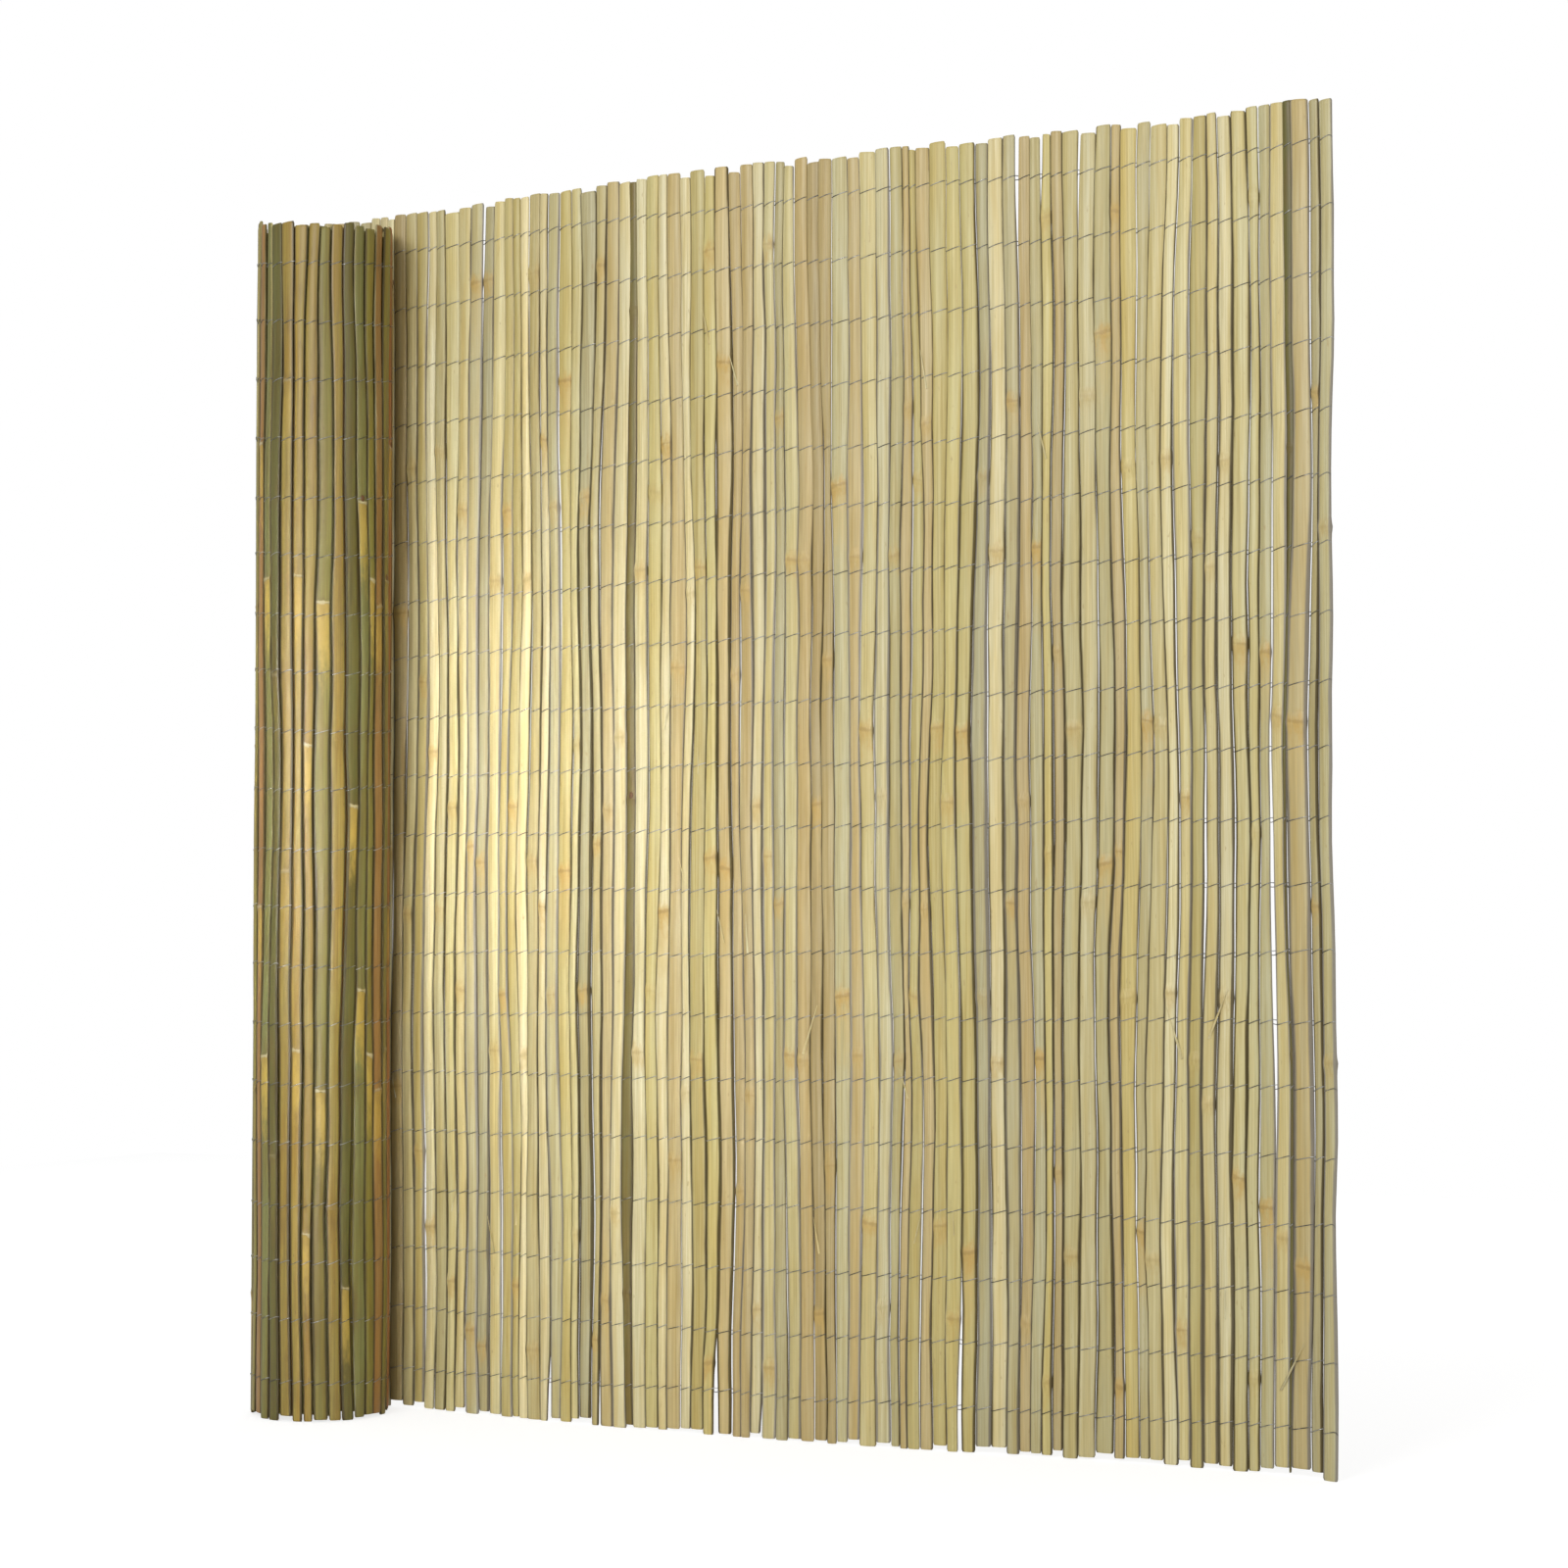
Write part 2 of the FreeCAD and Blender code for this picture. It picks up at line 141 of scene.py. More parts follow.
class Tree:
    """A node tree with short ways to add nodes and link them."""

    # The colour sockets of a Mix node, whose names its hidden sockets of other types carry too
    FIRST_COLOUR = 6
    SECOND_COLOUR = 7
    MIXED_COLOUR = 2

    def __init__(self, tree: bpy.types.NodeTree) -> None:
        """Keep the tree that nodes are added to."""
        self.tree = tree

    def add(self, kind: str, **settings: object) -> bpy.types.Node:
        """Add a node.

        Args:
            kind: the node's type name.
            settings: values of the node's own properties.

        Returns:
            The new node.
        """
        node = self.tree.nodes.new(kind)
        for name, value in settings.items():
            setattr(node, name, value)
        return node

    def feed(self, target: Socket, value: object) -> None:
        """Link a socket to a target, or set the target to a plain value.

        Args:
            target: the input to feed.
            value: another node's output, a number or a colour.
        """
        if isinstance(value, Socket):
            self.tree.links.new(value, target)
        else:
            target.default_value = value

    def math(self, operation: str, *values: object) -> Socket:
        """One step of arithmetic.

        Args:
            operation: name of the operation.
            values: the numbers or sockets that go in, in order.

        Returns:
            The result's socket.
        """
        node = self.add("ShaderNodeMath", operation=operation)
        for target, value in zip(node.inputs, values):
            self.feed(target, value)
        return node.outputs[0]

    def step(self, value: object, span: Span) -> Socket:
        """A smooth step from nought to one.

        Args:
            value: what is compared.
            span: where the step starts and ends.

        Returns:
            The step's socket.
        """
        node = self.add("ShaderNodeMapRange", interpolation_type="SMOOTHSTEP")
        self.feed(node.inputs["Value"], value)
        node.inputs["From Min"].default_value, node.inputs["From Max"].default_value = span
        return node.outputs["Result"]

    def spread(self, value: object, span: Span) -> Socket:
        """A value from nought to one spread over a range.

        Args:
            value: what is spread.
            span: result at nought and at one.

        Returns:
            The result's socket.
        """
        node = self.add("ShaderNodeMapRange")
        self.feed(node.inputs["Value"], value)
        node.inputs["To Min"].default_value, node.inputs["To Max"].default_value = span
        return node.outputs["Result"]

    def mix(self, share: object, first: object, second: object, blend: str = "MIX") -> Socket:
        """A mix of two colours.

        Args:
            share: how much of the second shows.
            first: first colour or socket.
            second: second colour or socket.
            blend: how they are blended.

        Returns:
            The mixed colour's socket.
        """
        node = self.add("ShaderNodeMix", data_type="RGBA", blend_type=blend)
        self.feed(node.inputs["Factor"], share)
        self.feed(node.inputs[self.FIRST_COLOUR], first)
        self.feed(node.inputs[self.SECOND_COLOUR], second)
        return node.outputs[self.MIXED_COLOUR]

    def tint(self, colour: Socket, mask: Socket, strength: object, tone: Rgb) -> Socket:
        """A colour with a tone laid over it where a mask shows, as strongly as told."""
        return self.mix(self.math("MULTIPLY", mask, strength), colour, linear(tone))

    def noise(self, fineness: Point, octaves: float, roughness: float) -> Socket:
        """A noise on object coordinates.

        Args:
            fineness: its turns in each metre along each axis.
            octaves: how many finer noises are added.
            roughness: strength of the finer noises.

        Returns:
            The noise value's socket.
        """
        where = self.add("ShaderNodeTexCoord")
        mapping = self.add("ShaderNodeMapping")
        mapping.inputs["Scale"].default_value = fineness
        self.feed(mapping.inputs["Vector"], where.outputs["Object"])
        node = self.add("ShaderNodeTexNoise")
        self.feed(node.inputs["Vector"], mapping.outputs["Vector"])
        node.inputs["Scale"].default_value = 1.0
        node.inputs["Detail"].default_value = octaves
        node.inputs["Roughness"].default_value = roughness
        return node.outputs["Fac"]

    def attribute(self, name: str) -> bpy.types.Node:
        """The node that reads one of a piece's own attributes."""
        return self.add("ShaderNodeAttribute", attribute_name=name)

    def group(self, tree: bpy.types.ShaderNodeTree, **values: object) -> dict[str, Socket]:
        """Place a node group.

        Args:
            tree: the group's tree.
            values: numbers or sockets for its named inputs.

        Returns:
            The group's outputs by name.
        """
        node = self.add("ShaderNodeGroup", node_tree=tree)
        for name, value in values.items():
            self.feed(node.inputs[name], value)
        return dict(node.outputs.items())

    def bump(self, shader: bpy.types.Node, height: Socket, strength: float, depth: float) -> None:
        """Raise a material's surface by a height.

        Args:
            shader: the material's shader.
            height: what is raised.
            strength: how much of it shows.
            depth: its depth in metres.
        """
        node = self.add("ShaderNodeBump")
        node.inputs["Strength"].default_value = strength
        node.inputs["Distance"].default_value = depth
        self.feed(node.inputs["Height"], height)
        self.feed(shader.inputs["Normal"], node.outputs["Normal"])


class GroupMaker:
    """A shader node group with named inputs and outputs."""

    def __init__(self, name: str, inputs: dict[str, float], outputs: list[str]) -> None:
        """Make the group's tree and its sockets.

        Args:
            name: the group's name.
            inputs: default of each number that goes in.
            outputs: names of the numbers that come out.
        """
        self.tree = bpy.data.node_groups.new(name, "ShaderNodeTree")
        for label, default in inputs.items():
            socket = self.tree.interface.new_socket(label, in_out="INPUT", socket_type="NodeSocketFloat")
            socket.default_value = default
        for label in outputs:
            self.tree.interface.new_socket(label, in_out="OUTPUT", socket_type="NodeSocketFloat")
        self.nodes = Tree(self.tree)
        self.source = self.nodes.add("NodeGroupInput").outputs
        self.result = self.nodes.add("NodeGroupOutput").inputs


@dataclass(frozen=True)
class Grain:
    """A noise in a finish: its fineness along each axis, its octaves, their roughness and its cut."""

    fineness: Point
    octaves: float
    roughness: float
    cut: Span = (0.0, 1.0)

    def value(self, tree: Tree) -> Socket:
        """The noise's value in a tree."""
        return tree.noise(self.fineness, self.octaves, self.roughness)

    def mask(self, tree: Tree) -> Socket:
        """The noise cut to a mask from nought to one."""
        return tree.step(self.value(tree), self.cut)


@dataclass(frozen=True)
class BambooFibre:
    """Grain of bamboo: long fibres up the slat, broad mottling and small specks."""

    coarse: Grain = Grain((520.0, 520.0, 5.0), 3.0, 0.6)
    fine: Grain = Grain((1500.0, 1500.0, 16.0), 2.0, 0.5)
    mottle: Grain = Grain((130.0, 130.0, 8.0), 4.0, 0.6, (0.3, 0.7))
    specks: Grain = Grain((420.0, 420.0, 120.0), 2.0, 0.5, (0.68, 0.78))
    fine_share: float = 0.45
    middle: float = 0.5
    streaks: Span = (-0.32, 0.32)

    def group(self) -> bpy.types.ShaderNodeTree:
        """Build the node group.

        Returns:
            A group that puts out streaks, mottle and specks from nought to one.
        """
        made = GroupMaker("bamboo_fibre", {"Contrast": 1.0}, ["Streaks", "Mottle", "Specks"])
        nodes = made.nodes
        coarse = nodes.math("MULTIPLY", self.coarse.value(nodes), 1.0 - self.fine_share)
        both = nodes.math("MULTIPLY_ADD", self.fine.value(nodes), self.fine_share, coarse)
        centred = nodes.math("MULTIPLY", nodes.math("SUBTRACT", both, self.middle), made.source["Contrast"])
        nodes.feed(made.result["Streaks"], nodes.step(centred, self.streaks))
        nodes.feed(made.result["Mottle"], self.mottle.mask(nodes))
        nodes.feed(made.result["Specks"], self.specks.mask(nodes))
        return made.tree


@dataclass(frozen=True)
class KnuckleBands:
    """Bands at a knuckle, in millimetres over the knuckle below and under the knuckle above."""

    ragged: Grain = Grain((210.0, 210.0, 80.0), 3.0, 0.65)
    middle: float = 0.5
    waver: float = 26.0
    ring_waver: float = 0.2
    ring: Span = (2.0, 0.4)
    scar_below: float = 0.45
    scar: Span = (10.0, -2.0)
    fresh_waver: float = 3.0
    fresh_top: Span = (0.8, 1.8)
    fresh_foot: Span = (76.0, 24.0)

    def group(self) -> bpy.types.ShaderNodeTree:
        """Build the node group.

        Returns:
            A group that puts out the ring, the scar band and the fresh length below the knuckle.
        """
        made = GroupMaker("knuckle_bands", {"Over": FAR, "Under": FAR}, ["Ring", "Scar", "Fresh"])
        nodes, over, under = made.nodes, made.source["Over"], made.source["Under"]
        ragged = nodes.math("SUBTRACT", self.ragged.value(nodes), self.middle)
        waver = nodes.math("MULTIPLY", ragged, self.waver)
        broken = nodes.math("MULTIPLY_ADD", waver, self.ring_waver, nodes.math("MINIMUM", over, under))
        nodes.feed(made.result["Ring"], nodes.step(broken, self.ring))
        # The scar reaches further down the slat than up
        uneven = nodes.math("MINIMUM", over, nodes.math("MULTIPLY", under, self.scar_below))
        nodes.feed(made.result["Scar"], nodes.step(nodes.math("ADD", uneven, waver), self.scar))
        drawn = nodes.math("MULTIPLY_ADD", waver, self.fresh_waver, under)
        below = nodes.step(under, self.fresh_top)
        nodes.feed(made.result["Fresh"], nodes.math("MULTIPLY", below, nodes.step(drawn, self.fresh_foot)))
        return made.tree


def start_material(name: str) -> tuple[bpy.types.Material, Tree, bpy.types.Node]:
    """A new material with its tree and its shader.

    Args:
        name: the material's name.

    Returns:
        The material, its tree and its Principled shader.
    """
    material = bpy.data.materials.new(name)
    material.use_nodes = True
    return material, Tree(material.node_tree), material.node_tree.nodes["Principled BSDF"]


@dataclass(frozen=True)
class Ground:
    """Bamboo before its marks: masks of grain and knuckles, how strongly knuckles show, and the colour."""

    grain: dict[str, Socket]
    bands: dict[str, Socket]
    marked: Socket
    colour: Socket


@dataclass(frozen=True)
class Finishes:
    """What the bamboo finishes share: two node groups, the ground colour and the edge shade."""

    fibre: bpy.types.ShaderNodeTree
    knuckle: bpy.types.ShaderNodeTree
    rim_waver: Span = (-0.13, 0.09)

    def ground(self, tree: Tree, tone: str, contrast: float, shade: Rgb, warmth: Rgb) -> Ground:
        """Lay the fibres of bamboo in a slat's own tone.

        Args:
            tree: the material's tree.
            tone: the attribute that holds the slat's tone.
            contrast: how sharply the fibres stand out.
            shade: what dark fibres are multiplied by.
            warmth: what warm mottling is multiplied by.

        Returns:
            The masks, and the colour that marks are laid on.
        """
        grain = tree.group(self.fibre, Contrast=contrast)
        over, under = (tree.attribute(name).outputs["Fac"] for name in KNUCKLE_MARKS)
        bands = tree.group(self.knuckle, Over=over, Under=under)
        slat = tree.attribute(tone).outputs
        dark = tree.mix(1.0, slat["Color"], linear(shade), "MULTIPLY")
        colour = tree.mix(grain["Streaks"], dark, slat["Color"])
        warm = tree.mix(1.0, colour, linear(warmth), "MULTIPLY")
        return Ground(grain, bands, slat["Alpha"], tree.mix(grain["Mottle"], colour, warm))

    def rim_shade(self, tree: Tree, waver: Socket, start: float) -> Socket:
        """Shade along a slat's edges from a share across, which the waver widens and narrows."""
        across = tree.math("ABSOLUTE", tree.attribute("across").outputs["Fac"])
        return tree.step(tree.math("ADD", across, tree.spread(waver, self.rim_waver)), (start, 1.0))


@dataclass(frozen=True)
class SplitFinish:
    """Split faces, edges and sawn ends of the slats."""

    name: str = "split_bamboo"
    scar: Rgb = (184, 153, 86)
    stain: Rgb = (190, 164, 100)
    ring: Rgb = (112, 88, 48)
    speck: Rgb = (160, 136, 90)
    end_grain: Rgb = (180, 160, 112)
    # Painted shade along the slats' edges: dark between the slats, and grey where it stands for a shaded
    # background seen through a gap
    edge: Rgb = (68, 57, 28)
    grey_gap_shade_colour: Rgb = (150, 145, 136)
    shade: Rgb = (206, 198, 174)
    warmth: Rgb = (250, 240, 212)
    contrast: float = 1.0
    speck_strength: float = 0.5
    stain_marked: Span = (0.4, 1.0)
    scar_marked: Span = (0.25, 1.0)
    ring_strength: float = 0.3
    rim_start: float = 0.69
    rim_strength: float = 0.92
    rim_roughness: float = 0.9
    sawn_facing: Span = (0.7, 0.9)
    roughness: Span = (0.48, 0.34)
    specular: float = 0.4
    bump_strength: float = 0.35
    bump_depth: float = 0.35 * MM

    def material(self, finishes: Finishes) -> bpy.types.Material:
        """Build the material.

        Args:
            finishes: what the bamboo finishes share.

        Returns:
            The finished material.
        """
        material, tree, shader = start_material(self.name)
        ground = finishes.ground(tree, "split_colour", self.contrast, self.shade, self.warmth)
        grain, bands = ground.grain, ground.bands
        colour = tree.tint(ground.colour, grain["Specks"], self.speck_strength, self.speck)
        stained = tree.math("MULTIPLY", bands["Fresh"], tree.step(ground.marked, self.stain_marked))
        colour = tree.tint(colour, stained, grain["Streaks"], self.stain)
        marked = tree.spread(ground.marked, self.scar_marked)
        colour = tree.tint(colour, bands["Scar"], marked, self.scar)
        ringed = tree.math("MULTIPLY", marked, self.ring_strength)
        colour = tree.tint(colour, bands["Ring"], ringed, self.ring)
        # Painted shade along the edges, dark or grey for each slat
        rim_shade = finishes.rim_shade(tree, grain["Mottle"], self.rim_start)
        edge = tree.mix(tree.attribute("grey_gap_shade").outputs["Fac"], linear(self.edge), linear(self.grey_gap_shade_colour))
        colour = tree.mix(tree.math("MULTIPLY", rim_shade, self.rim_strength), colour, edge)
        facing = tree.add("ShaderNodeSeparateXYZ")
        tree.feed(facing.inputs[0], tree.add("ShaderNodeNewGeometry").outputs["Normal"])
        sawn = tree.step(tree.math("ABSOLUTE", facing.outputs["Z"]), self.sawn_facing)
        tree.feed(shader.inputs["Base Color"], tree.mix(sawn, colour, linear(self.end_grain)))
        satin = tree.spread(grain["Streaks"], self.roughness)
        dull = tree.math("MULTIPLY", rim_shade, self.rim_roughness)
        tree.feed(shader.inputs["Roughness"], tree.math("MAXIMUM", satin, dull))
        shader.inputs["Specular IOR Level"].default_value = self.specular
        tree.bump(shader, grain["Streaks"], self.bump_strength, self.bump_depth)
        return material


@dataclass(frozen=True)
class SkinFinish:
    """Waxy outer skin of the culms."""

    name: str = "bamboo_skin"
    ring: Rgb = (186, 176, 140)
    fresh: Rgb = (186, 156, 68)
    stain: Rgb = (104, 80, 40)
    # Painted shade along the skin's edges, dark between the roll's slats
    edge: Rgb = (62, 50, 20)
    shade: Rgb = (184, 177, 152)
    warmth: Rgb = (252, 230, 188)
    contrast: float = 0.8
    blotch: Grain = Grain((90.0, 90.0, 22.0), 3.0, 0.6, (0.5, 0.72))
    blotch_strength: float = 0.35
    fresh_marked: Span = (0.1, 0.5)
    fresh_strength: float = 0.7
    scar_strength: float = 0.3
    speck_strength: float = 0.5
    ring_marked: Span = (0.0, 0.7)
    ring_strength: float = 0.75
    rim_start: float = 0.68
    rim_strength: float = 0.85
    roughness: Span = (0.5, 0.36)
    bump_strength: float = 0.2
    bump_depth: float = 0.25 * MM

    def material(self, finishes: Finishes) -> bpy.types.Material:
        """Build the material.

        Args:
            finishes: what the bamboo finishes share.

        Returns:
            The finished material.
        """
        material, tree, shader = start_material(self.name)
        ground = finishes.ground(tree, "skin_colour", self.contrast, self.shade, self.warmth)
        grain, bands = ground.grain, ground.bands
        colour = tree.tint(ground.colour, self.blotch.mask(tree), self.blotch_strength, self.stain)
        fresh = tree.math("MULTIPLY", bands["Fresh"], tree.step(ground.marked, self.fresh_marked))
        colour = tree.tint(colour, fresh, self.fresh_strength, self.fresh)
        colour = tree.tint(colour, bands["Scar"], self.scar_strength, self.stain)
        colour = tree.tint(colour, grain["Specks"], self.speck_strength, self.stain)
        ring = tree.math("MULTIPLY", bands["Ring"], tree.step(ground.marked, self.ring_marked))
        colour = tree.tint(colour, ring, self.ring_strength, self.ring)
        # Painted shade along the skin's edges
        rim_shade = finishes.rim_shade(tree, grain["Mottle"], self.rim_start)
        tree.feed(shader.inputs["Base Color"], tree.tint(colour, rim_shade, self.rim_strength, self.edge))
        tree.feed(shader.inputs["Roughness"], tree.spread(grain["Mottle"], self.roughness))
        tree.bump(shader, grain["Streaks"], self.bump_strength, self.bump_depth)
        return material


@dataclass(frozen=True)
class WireFinish:
    """Dull zinc of the binding wire."""

    name: str = "galvanised_wire"
    bright: Rgb = (170, 170, 167)
    dull: Rgb = (84, 83, 78)
    patches: Grain = Grain((90.0, 90.0, 240.0), 3.0, 0.6, (0.35, 0.65))
    metallic: float = 0.85
    roughness: Span = (0.52, 0.27)

    def material(self) -> bpy.types.Material:
        """Build the material.

        Returns:
            The finished material.
        """
        material, tree, shader = start_material(self.name)
        patches = self.patches.mask(tree)
        tree.feed(shader.inputs["Base Color"], tree.mix(patches, linear(self.dull), linear(self.bright)))
        shader.inputs["Metallic"].default_value = self.metallic
        tree.feed(shader.inputs["Roughness"], tree.spread(patches, self.roughness))
        return material


@dataclass(frozen=True)
class Waver:
    """A smooth noise over the mat: its reach, its pace upward, its layer and its step from slat to slat."""

    reach: float
    pace: float
    layer: float
    step: float = 5.31


@dataclass(frozen=True)
class Ring:
    """Where a slat's section stands at one level: its edges along the mat, its depth, turn and swelling."""

    left: float
    right: float
    depth: float
    turn: float
    swell: float
    ridge: float


@dataclass(frozen=True)
class Opening:
    """A gap between two slats that stands open over some of its height."""

    height: float
    reach: float
    width: float

    def at(self, height: float) -> float:
        """How far the gap is open at a height above the ground."""
        return self.width * max(0.0, 1.0 - ((height - self.height) / self.reach) ** 2)


@dataclass(eq=False)
class Slat:
    """One slat as the frame gives it, with the crookedness of the real one."""

    foot: Vector
    up: Vector
    outward: Vector
    width: float
    thickness: float
    length: float
    knuckles: list[float]
    station: float = 0.0
    turned: bool = False
    crooked: float = 1.0
    least_gap: float = 0.25 * MM
    lapped: float = 0.0
    # Width of the painted shade along the edges, and how much of it is grey
    rim_shade: float = 1.0
    grey_gap_shade: float = 0.0
    band_tilt: float = 0.0
    twist: float = 0.0
    head_slope: float = 0.0
    kinks: list[float] = field(default_factory=list)
    openings: list[Opening] = field(default_factory=list)
    split_tone: Rgba = (1.0, 1.0, 1.0, 1.0)
    skin_tone: Rgba = (1.0, 1.0, 1.0, 1.0)
    before: "Slat | None" = None
    after: "Slat | None" = None
    rings: dict[float, Ring] = field(default_factory=dict)
    skin_fall: float = 0.85 * MM
    split_round: float = 1.2 * MM
    ridge: float = 0.6 * MM
    ridge_above: float = 3.0 * MM
    ridge_below: float = 6.0 * MM
    front_swell: float = 0.9 * MM
    side_swell: float = 0.6 * MM
    swell_reach: float = 5.0 * MM
    # The first sway is shared with the slats nearby, the others are the slat's own
    sways: tuple[Waver, ...] = (
        Waver(5.0 * MM, 3.2, 3.1, 0.17),
        Waver(4.8 * MM, 4.6, 8.7),
        Waver(1.7 * MM, 14.0, 13.3),
    )
    depth_sway: Waver = Waver(1.8 * MM, 3.6, 5.9)
    gap_sway: Waver = Waver(0.8 * MM, 6.0, 21.9)
    twist_pace: float = 4.0
    kink_reach: float = 60.0 * MM
    # How far the painted edge shade reaches: most at the foot, less toward the head
    edge_shade_at_foot: float = 1.06
    edge_shade_less_at_head: float = 0.2
    edge_shade_narrows_from: float = 0.6
    edge_shade_narrows_over: float = 0.35
    lap_bend: float = 0.62
    lap_bend_reach: float = 0.16
    no_knuckle: float = 1.0
    level_digits: int = 6

    @property
    def across(self) -> Vector:
        """Direction across the slat, with the skin behind it."""
        return self.outward.cross(self.up)

    @property
    def side(self) -> float:
        """One where the slat's own direction across runs along the mat, minus one where it is turned."""
        return -1.0 if self.turned else 1.0

    def level(self, height: float) -> float:
        """Distance from the foot at a height above the ground."""
        return (height - self.foot.z) / self.up.z

    def over(self, level: float) -> float:
        """Height of a level over the next knuckle below it, or a whole metre."""
        passed = (level - knuckle for knuckle in self.knuckles if knuckle <= level)
        return min(passed, default=self.no_knuckle)

    def under(self, level: float) -> float:
        """Height of a level under the next knuckle above it, or a whole metre."""
        coming = (knuckle - level for knuckle in self.knuckles if knuckle >= level)
        return min(coming, default=self.no_knuckle)

    def lap(self, height: float) -> float:
        """How far the next slat lies over this one at a height, twice as far below its bend as above."""
        return self.lapped * (2.0 - portion((height - self.lap_bend) / self.lap_bend_reach))

    def edge_shade_reach(self, level: float) -> float:
        """How far the painted shade along the edges reaches at a level, more toward the foot than the head.
        """
        share = portion((level / self.length - self.edge_shade_narrows_from) / self.edge_shade_narrows_over)
        return self.rim_shade * (self.edge_shade_at_foot - self.edge_shade_less_at_head * share)

    def drift(self, level: float, waver: Waver) -> float:
        """A smooth noise at a level, or at a row's number, from about minus to plus its reach."""
        spot = Vector((self.station * waver.step, level * waver.pace, waver.layer))
        return waver.reach * noise.noise(spot)

    def sway(self, level: float) -> float:
        """How far the slat strays along the mat at a level.

        Args:
            level: distance from the foot.

        Returns:
            The offset in metres, part of it shared with the slats nearby.
        """
        along = sum(self.drift(level, waver) for waver in self.sways)
        for knuckle, kink in zip(self.knuckles, self.kinks):
            along += kink * max(0.0, 1.0 - abs(level - knuckle) / self.kink_reach)
        return self.crooked * along

    def gap(self, level: float) -> float:
        """Gap that is left between this slat and the next.

        Args:
            level: distance from the foot.

        Returns:
            The gap in metres.
        """
        height = self.foot.z + self.up.z * level
        own = self.crooked * max(0.0, self.drift(level, self.gap_sway))
        return self.least_gap + own + sum(opening.at(height) for opening in self.openings)

    def boundary(self, other: "Slat", toward: float, level: float) -> float:
        """Middle of the gap that two neighbours share, along the mat from this slat's middle line.

        Args:
            other: the neighbour.
            toward: one if it follows along the mat, minus one if it comes before.
            level: distance from this slat's foot.

        Returns:
            The signed distance in metres.
        """
        here = self.foot + self.up * level
        beside = other.level(here.z)
        distance = (other.foot + other.up * beside - here).length
        gap = distance - (self.width + other.width) / 2.0
        lapped = (self if toward > 0.0 else other).lap(here.z)
        return toward * (self.width + gap) / 2.0 + (self.sway(level) + other.sway(beside)) / 2.0 - lapped

    def ring(self, level: float) -> Ring:
        """Where the section stands at a level; neighbours share the room on both sides of their gap.

        Args:
            level: distance from the foot.

        Returns:
            The ring's edges, depth, turn and swelling.
        """
        key = round(level, self.level_digits)
        if key not in self.rings:
            over, under = self.over(level), self.under(level)
            swell = math.exp(-(min(over, under) / self.swell_reach) ** 2)
            ridge = self.ridge * max(0.0, 1.0 - over / self.ridge_above, 1.0 - under / self.ridge_below)
            grown = self.side_swell * swell
            left = self.sway(level) - self.width / 2.0 - grown
            right = self.sway(level) + self.width / 2.0 + grown
            if self.before:
                gap = self.before.gap(self.before.level(self.foot.z + self.up.z * level))
                left = self.boundary(self.before, -1.0, level) + gap / 2.0 - grown / 2.0
            if self.after:
                right = self.boundary(self.after, 1.0, level) - self.gap(level) / 2.0 + grown / 2.0
            depth = self.crooked * self.drift(level, self.depth_sway)
            turn = self.crooked * self.twist * math.sin(self.twist_pace * level + self.station)
            self.rings[key] = Ring(left, right, depth, turn, swell, ridge)
        return self.rings[key]

    def depth_at(self, share: float, on_skin: bool) -> float:
        """Depth of one of the slat's faces behind the middle of its split face.

        Args:
            share: place across the slat, from -1 to 1.
            on_skin: whether the skin is meant.

        Returns:
            The distance outward in metres.
        """
        if on_skin:
            return self.thickness - self.skin_fall * share * share
        return self.split_round * share * share

    def point(self, share: float, outward: float, level: float) -> Vector:
        """World place of a point of the slat.

        Args:
            share: place across the slat, from -1 to 1, in its own direction.
            outward: distance from the split face to the skin side.
            level: distance from the foot.

        Returns:
            The point, with the slat's twist and crookedness.
        """
        ring = self.ring(level)
        middle = (ring.left + ring.right) / 2.0
        flat = share * (ring.right - ring.left) / 2.0
        deep = outward - self.thickness / 2.0
        turned_flat = flat * math.cos(ring.turn) - deep * math.sin(ring.turn)
        turned_deep = flat * math.sin(ring.turn) + deep * math.cos(ring.turn) + self.thickness / 2.0
        place = self.foot + self.up * level
        sideways = self.across * (turned_flat + self.side * middle)
        return place + sideways + self.outward * (turned_deep + self.side * ring.depth)

    def contact(self, share: float, face: Face, height: float, clear: float) -> Vector:
        """A point on the slat's face where a wire lies.

        Args:
            share: place across the slat along the mat, from -1 to 1.
            face: side of the mat.
            height: height above the ground.
            clear: distance from the face to the wire's middle.

        Returns:
            The point in the frame.
        """
        on_skin = (face is Face.BACK) != self.turned
        depth = self.depth_at(share, on_skin) + (clear if on_skin else -clear)
        return self.point(share * self.side, depth, self.level(height))

    def edge(self, toward: float, height: float) -> Vector:
        """Middle of the slat's edge toward one side of the mat, from -1 to 1, at a height."""
        return self.point(toward * self.side, self.thickness / 2.0, self.level(height))


# Gaps of the panel that stand open, by the number of the slat before each, counted from the roll
OPENINGS = {
    10: (Opening(1.0, 0.09, 1.6 * MM),),
    12: (Opening(0.62, 0.12, 1.2 * MM),),
    17: (Opening(0.0, 0.05, 3.0 * MM),),
    22: (Opening(0.0, 0.04, 1.6 * MM),),
    32: (Opening(0.0, 0.08, 4.5 * MM), Opening(0.75, 0.06, 1.0 * MM)),
    36: (Opening(0.0, 0.035, 2.0 * MM),),
    52: (Opening(0.0, 0.15, 3.2 * MM),),
    56: (Opening(1.0, 0.09, 2.6 * MM),),
    58: (Opening(1.0, 0.06, 2.0 * MM),),
    61: (Opening(1.0, 0.07, 1.4 * MM),),
    70: (Opening(0.45, 0.12, 1.6 * MM),),
    75: (Opening(0.40, 0.17, 2.6 * MM), Opening(0.66, 0.16, 1.8 * MM)),
}


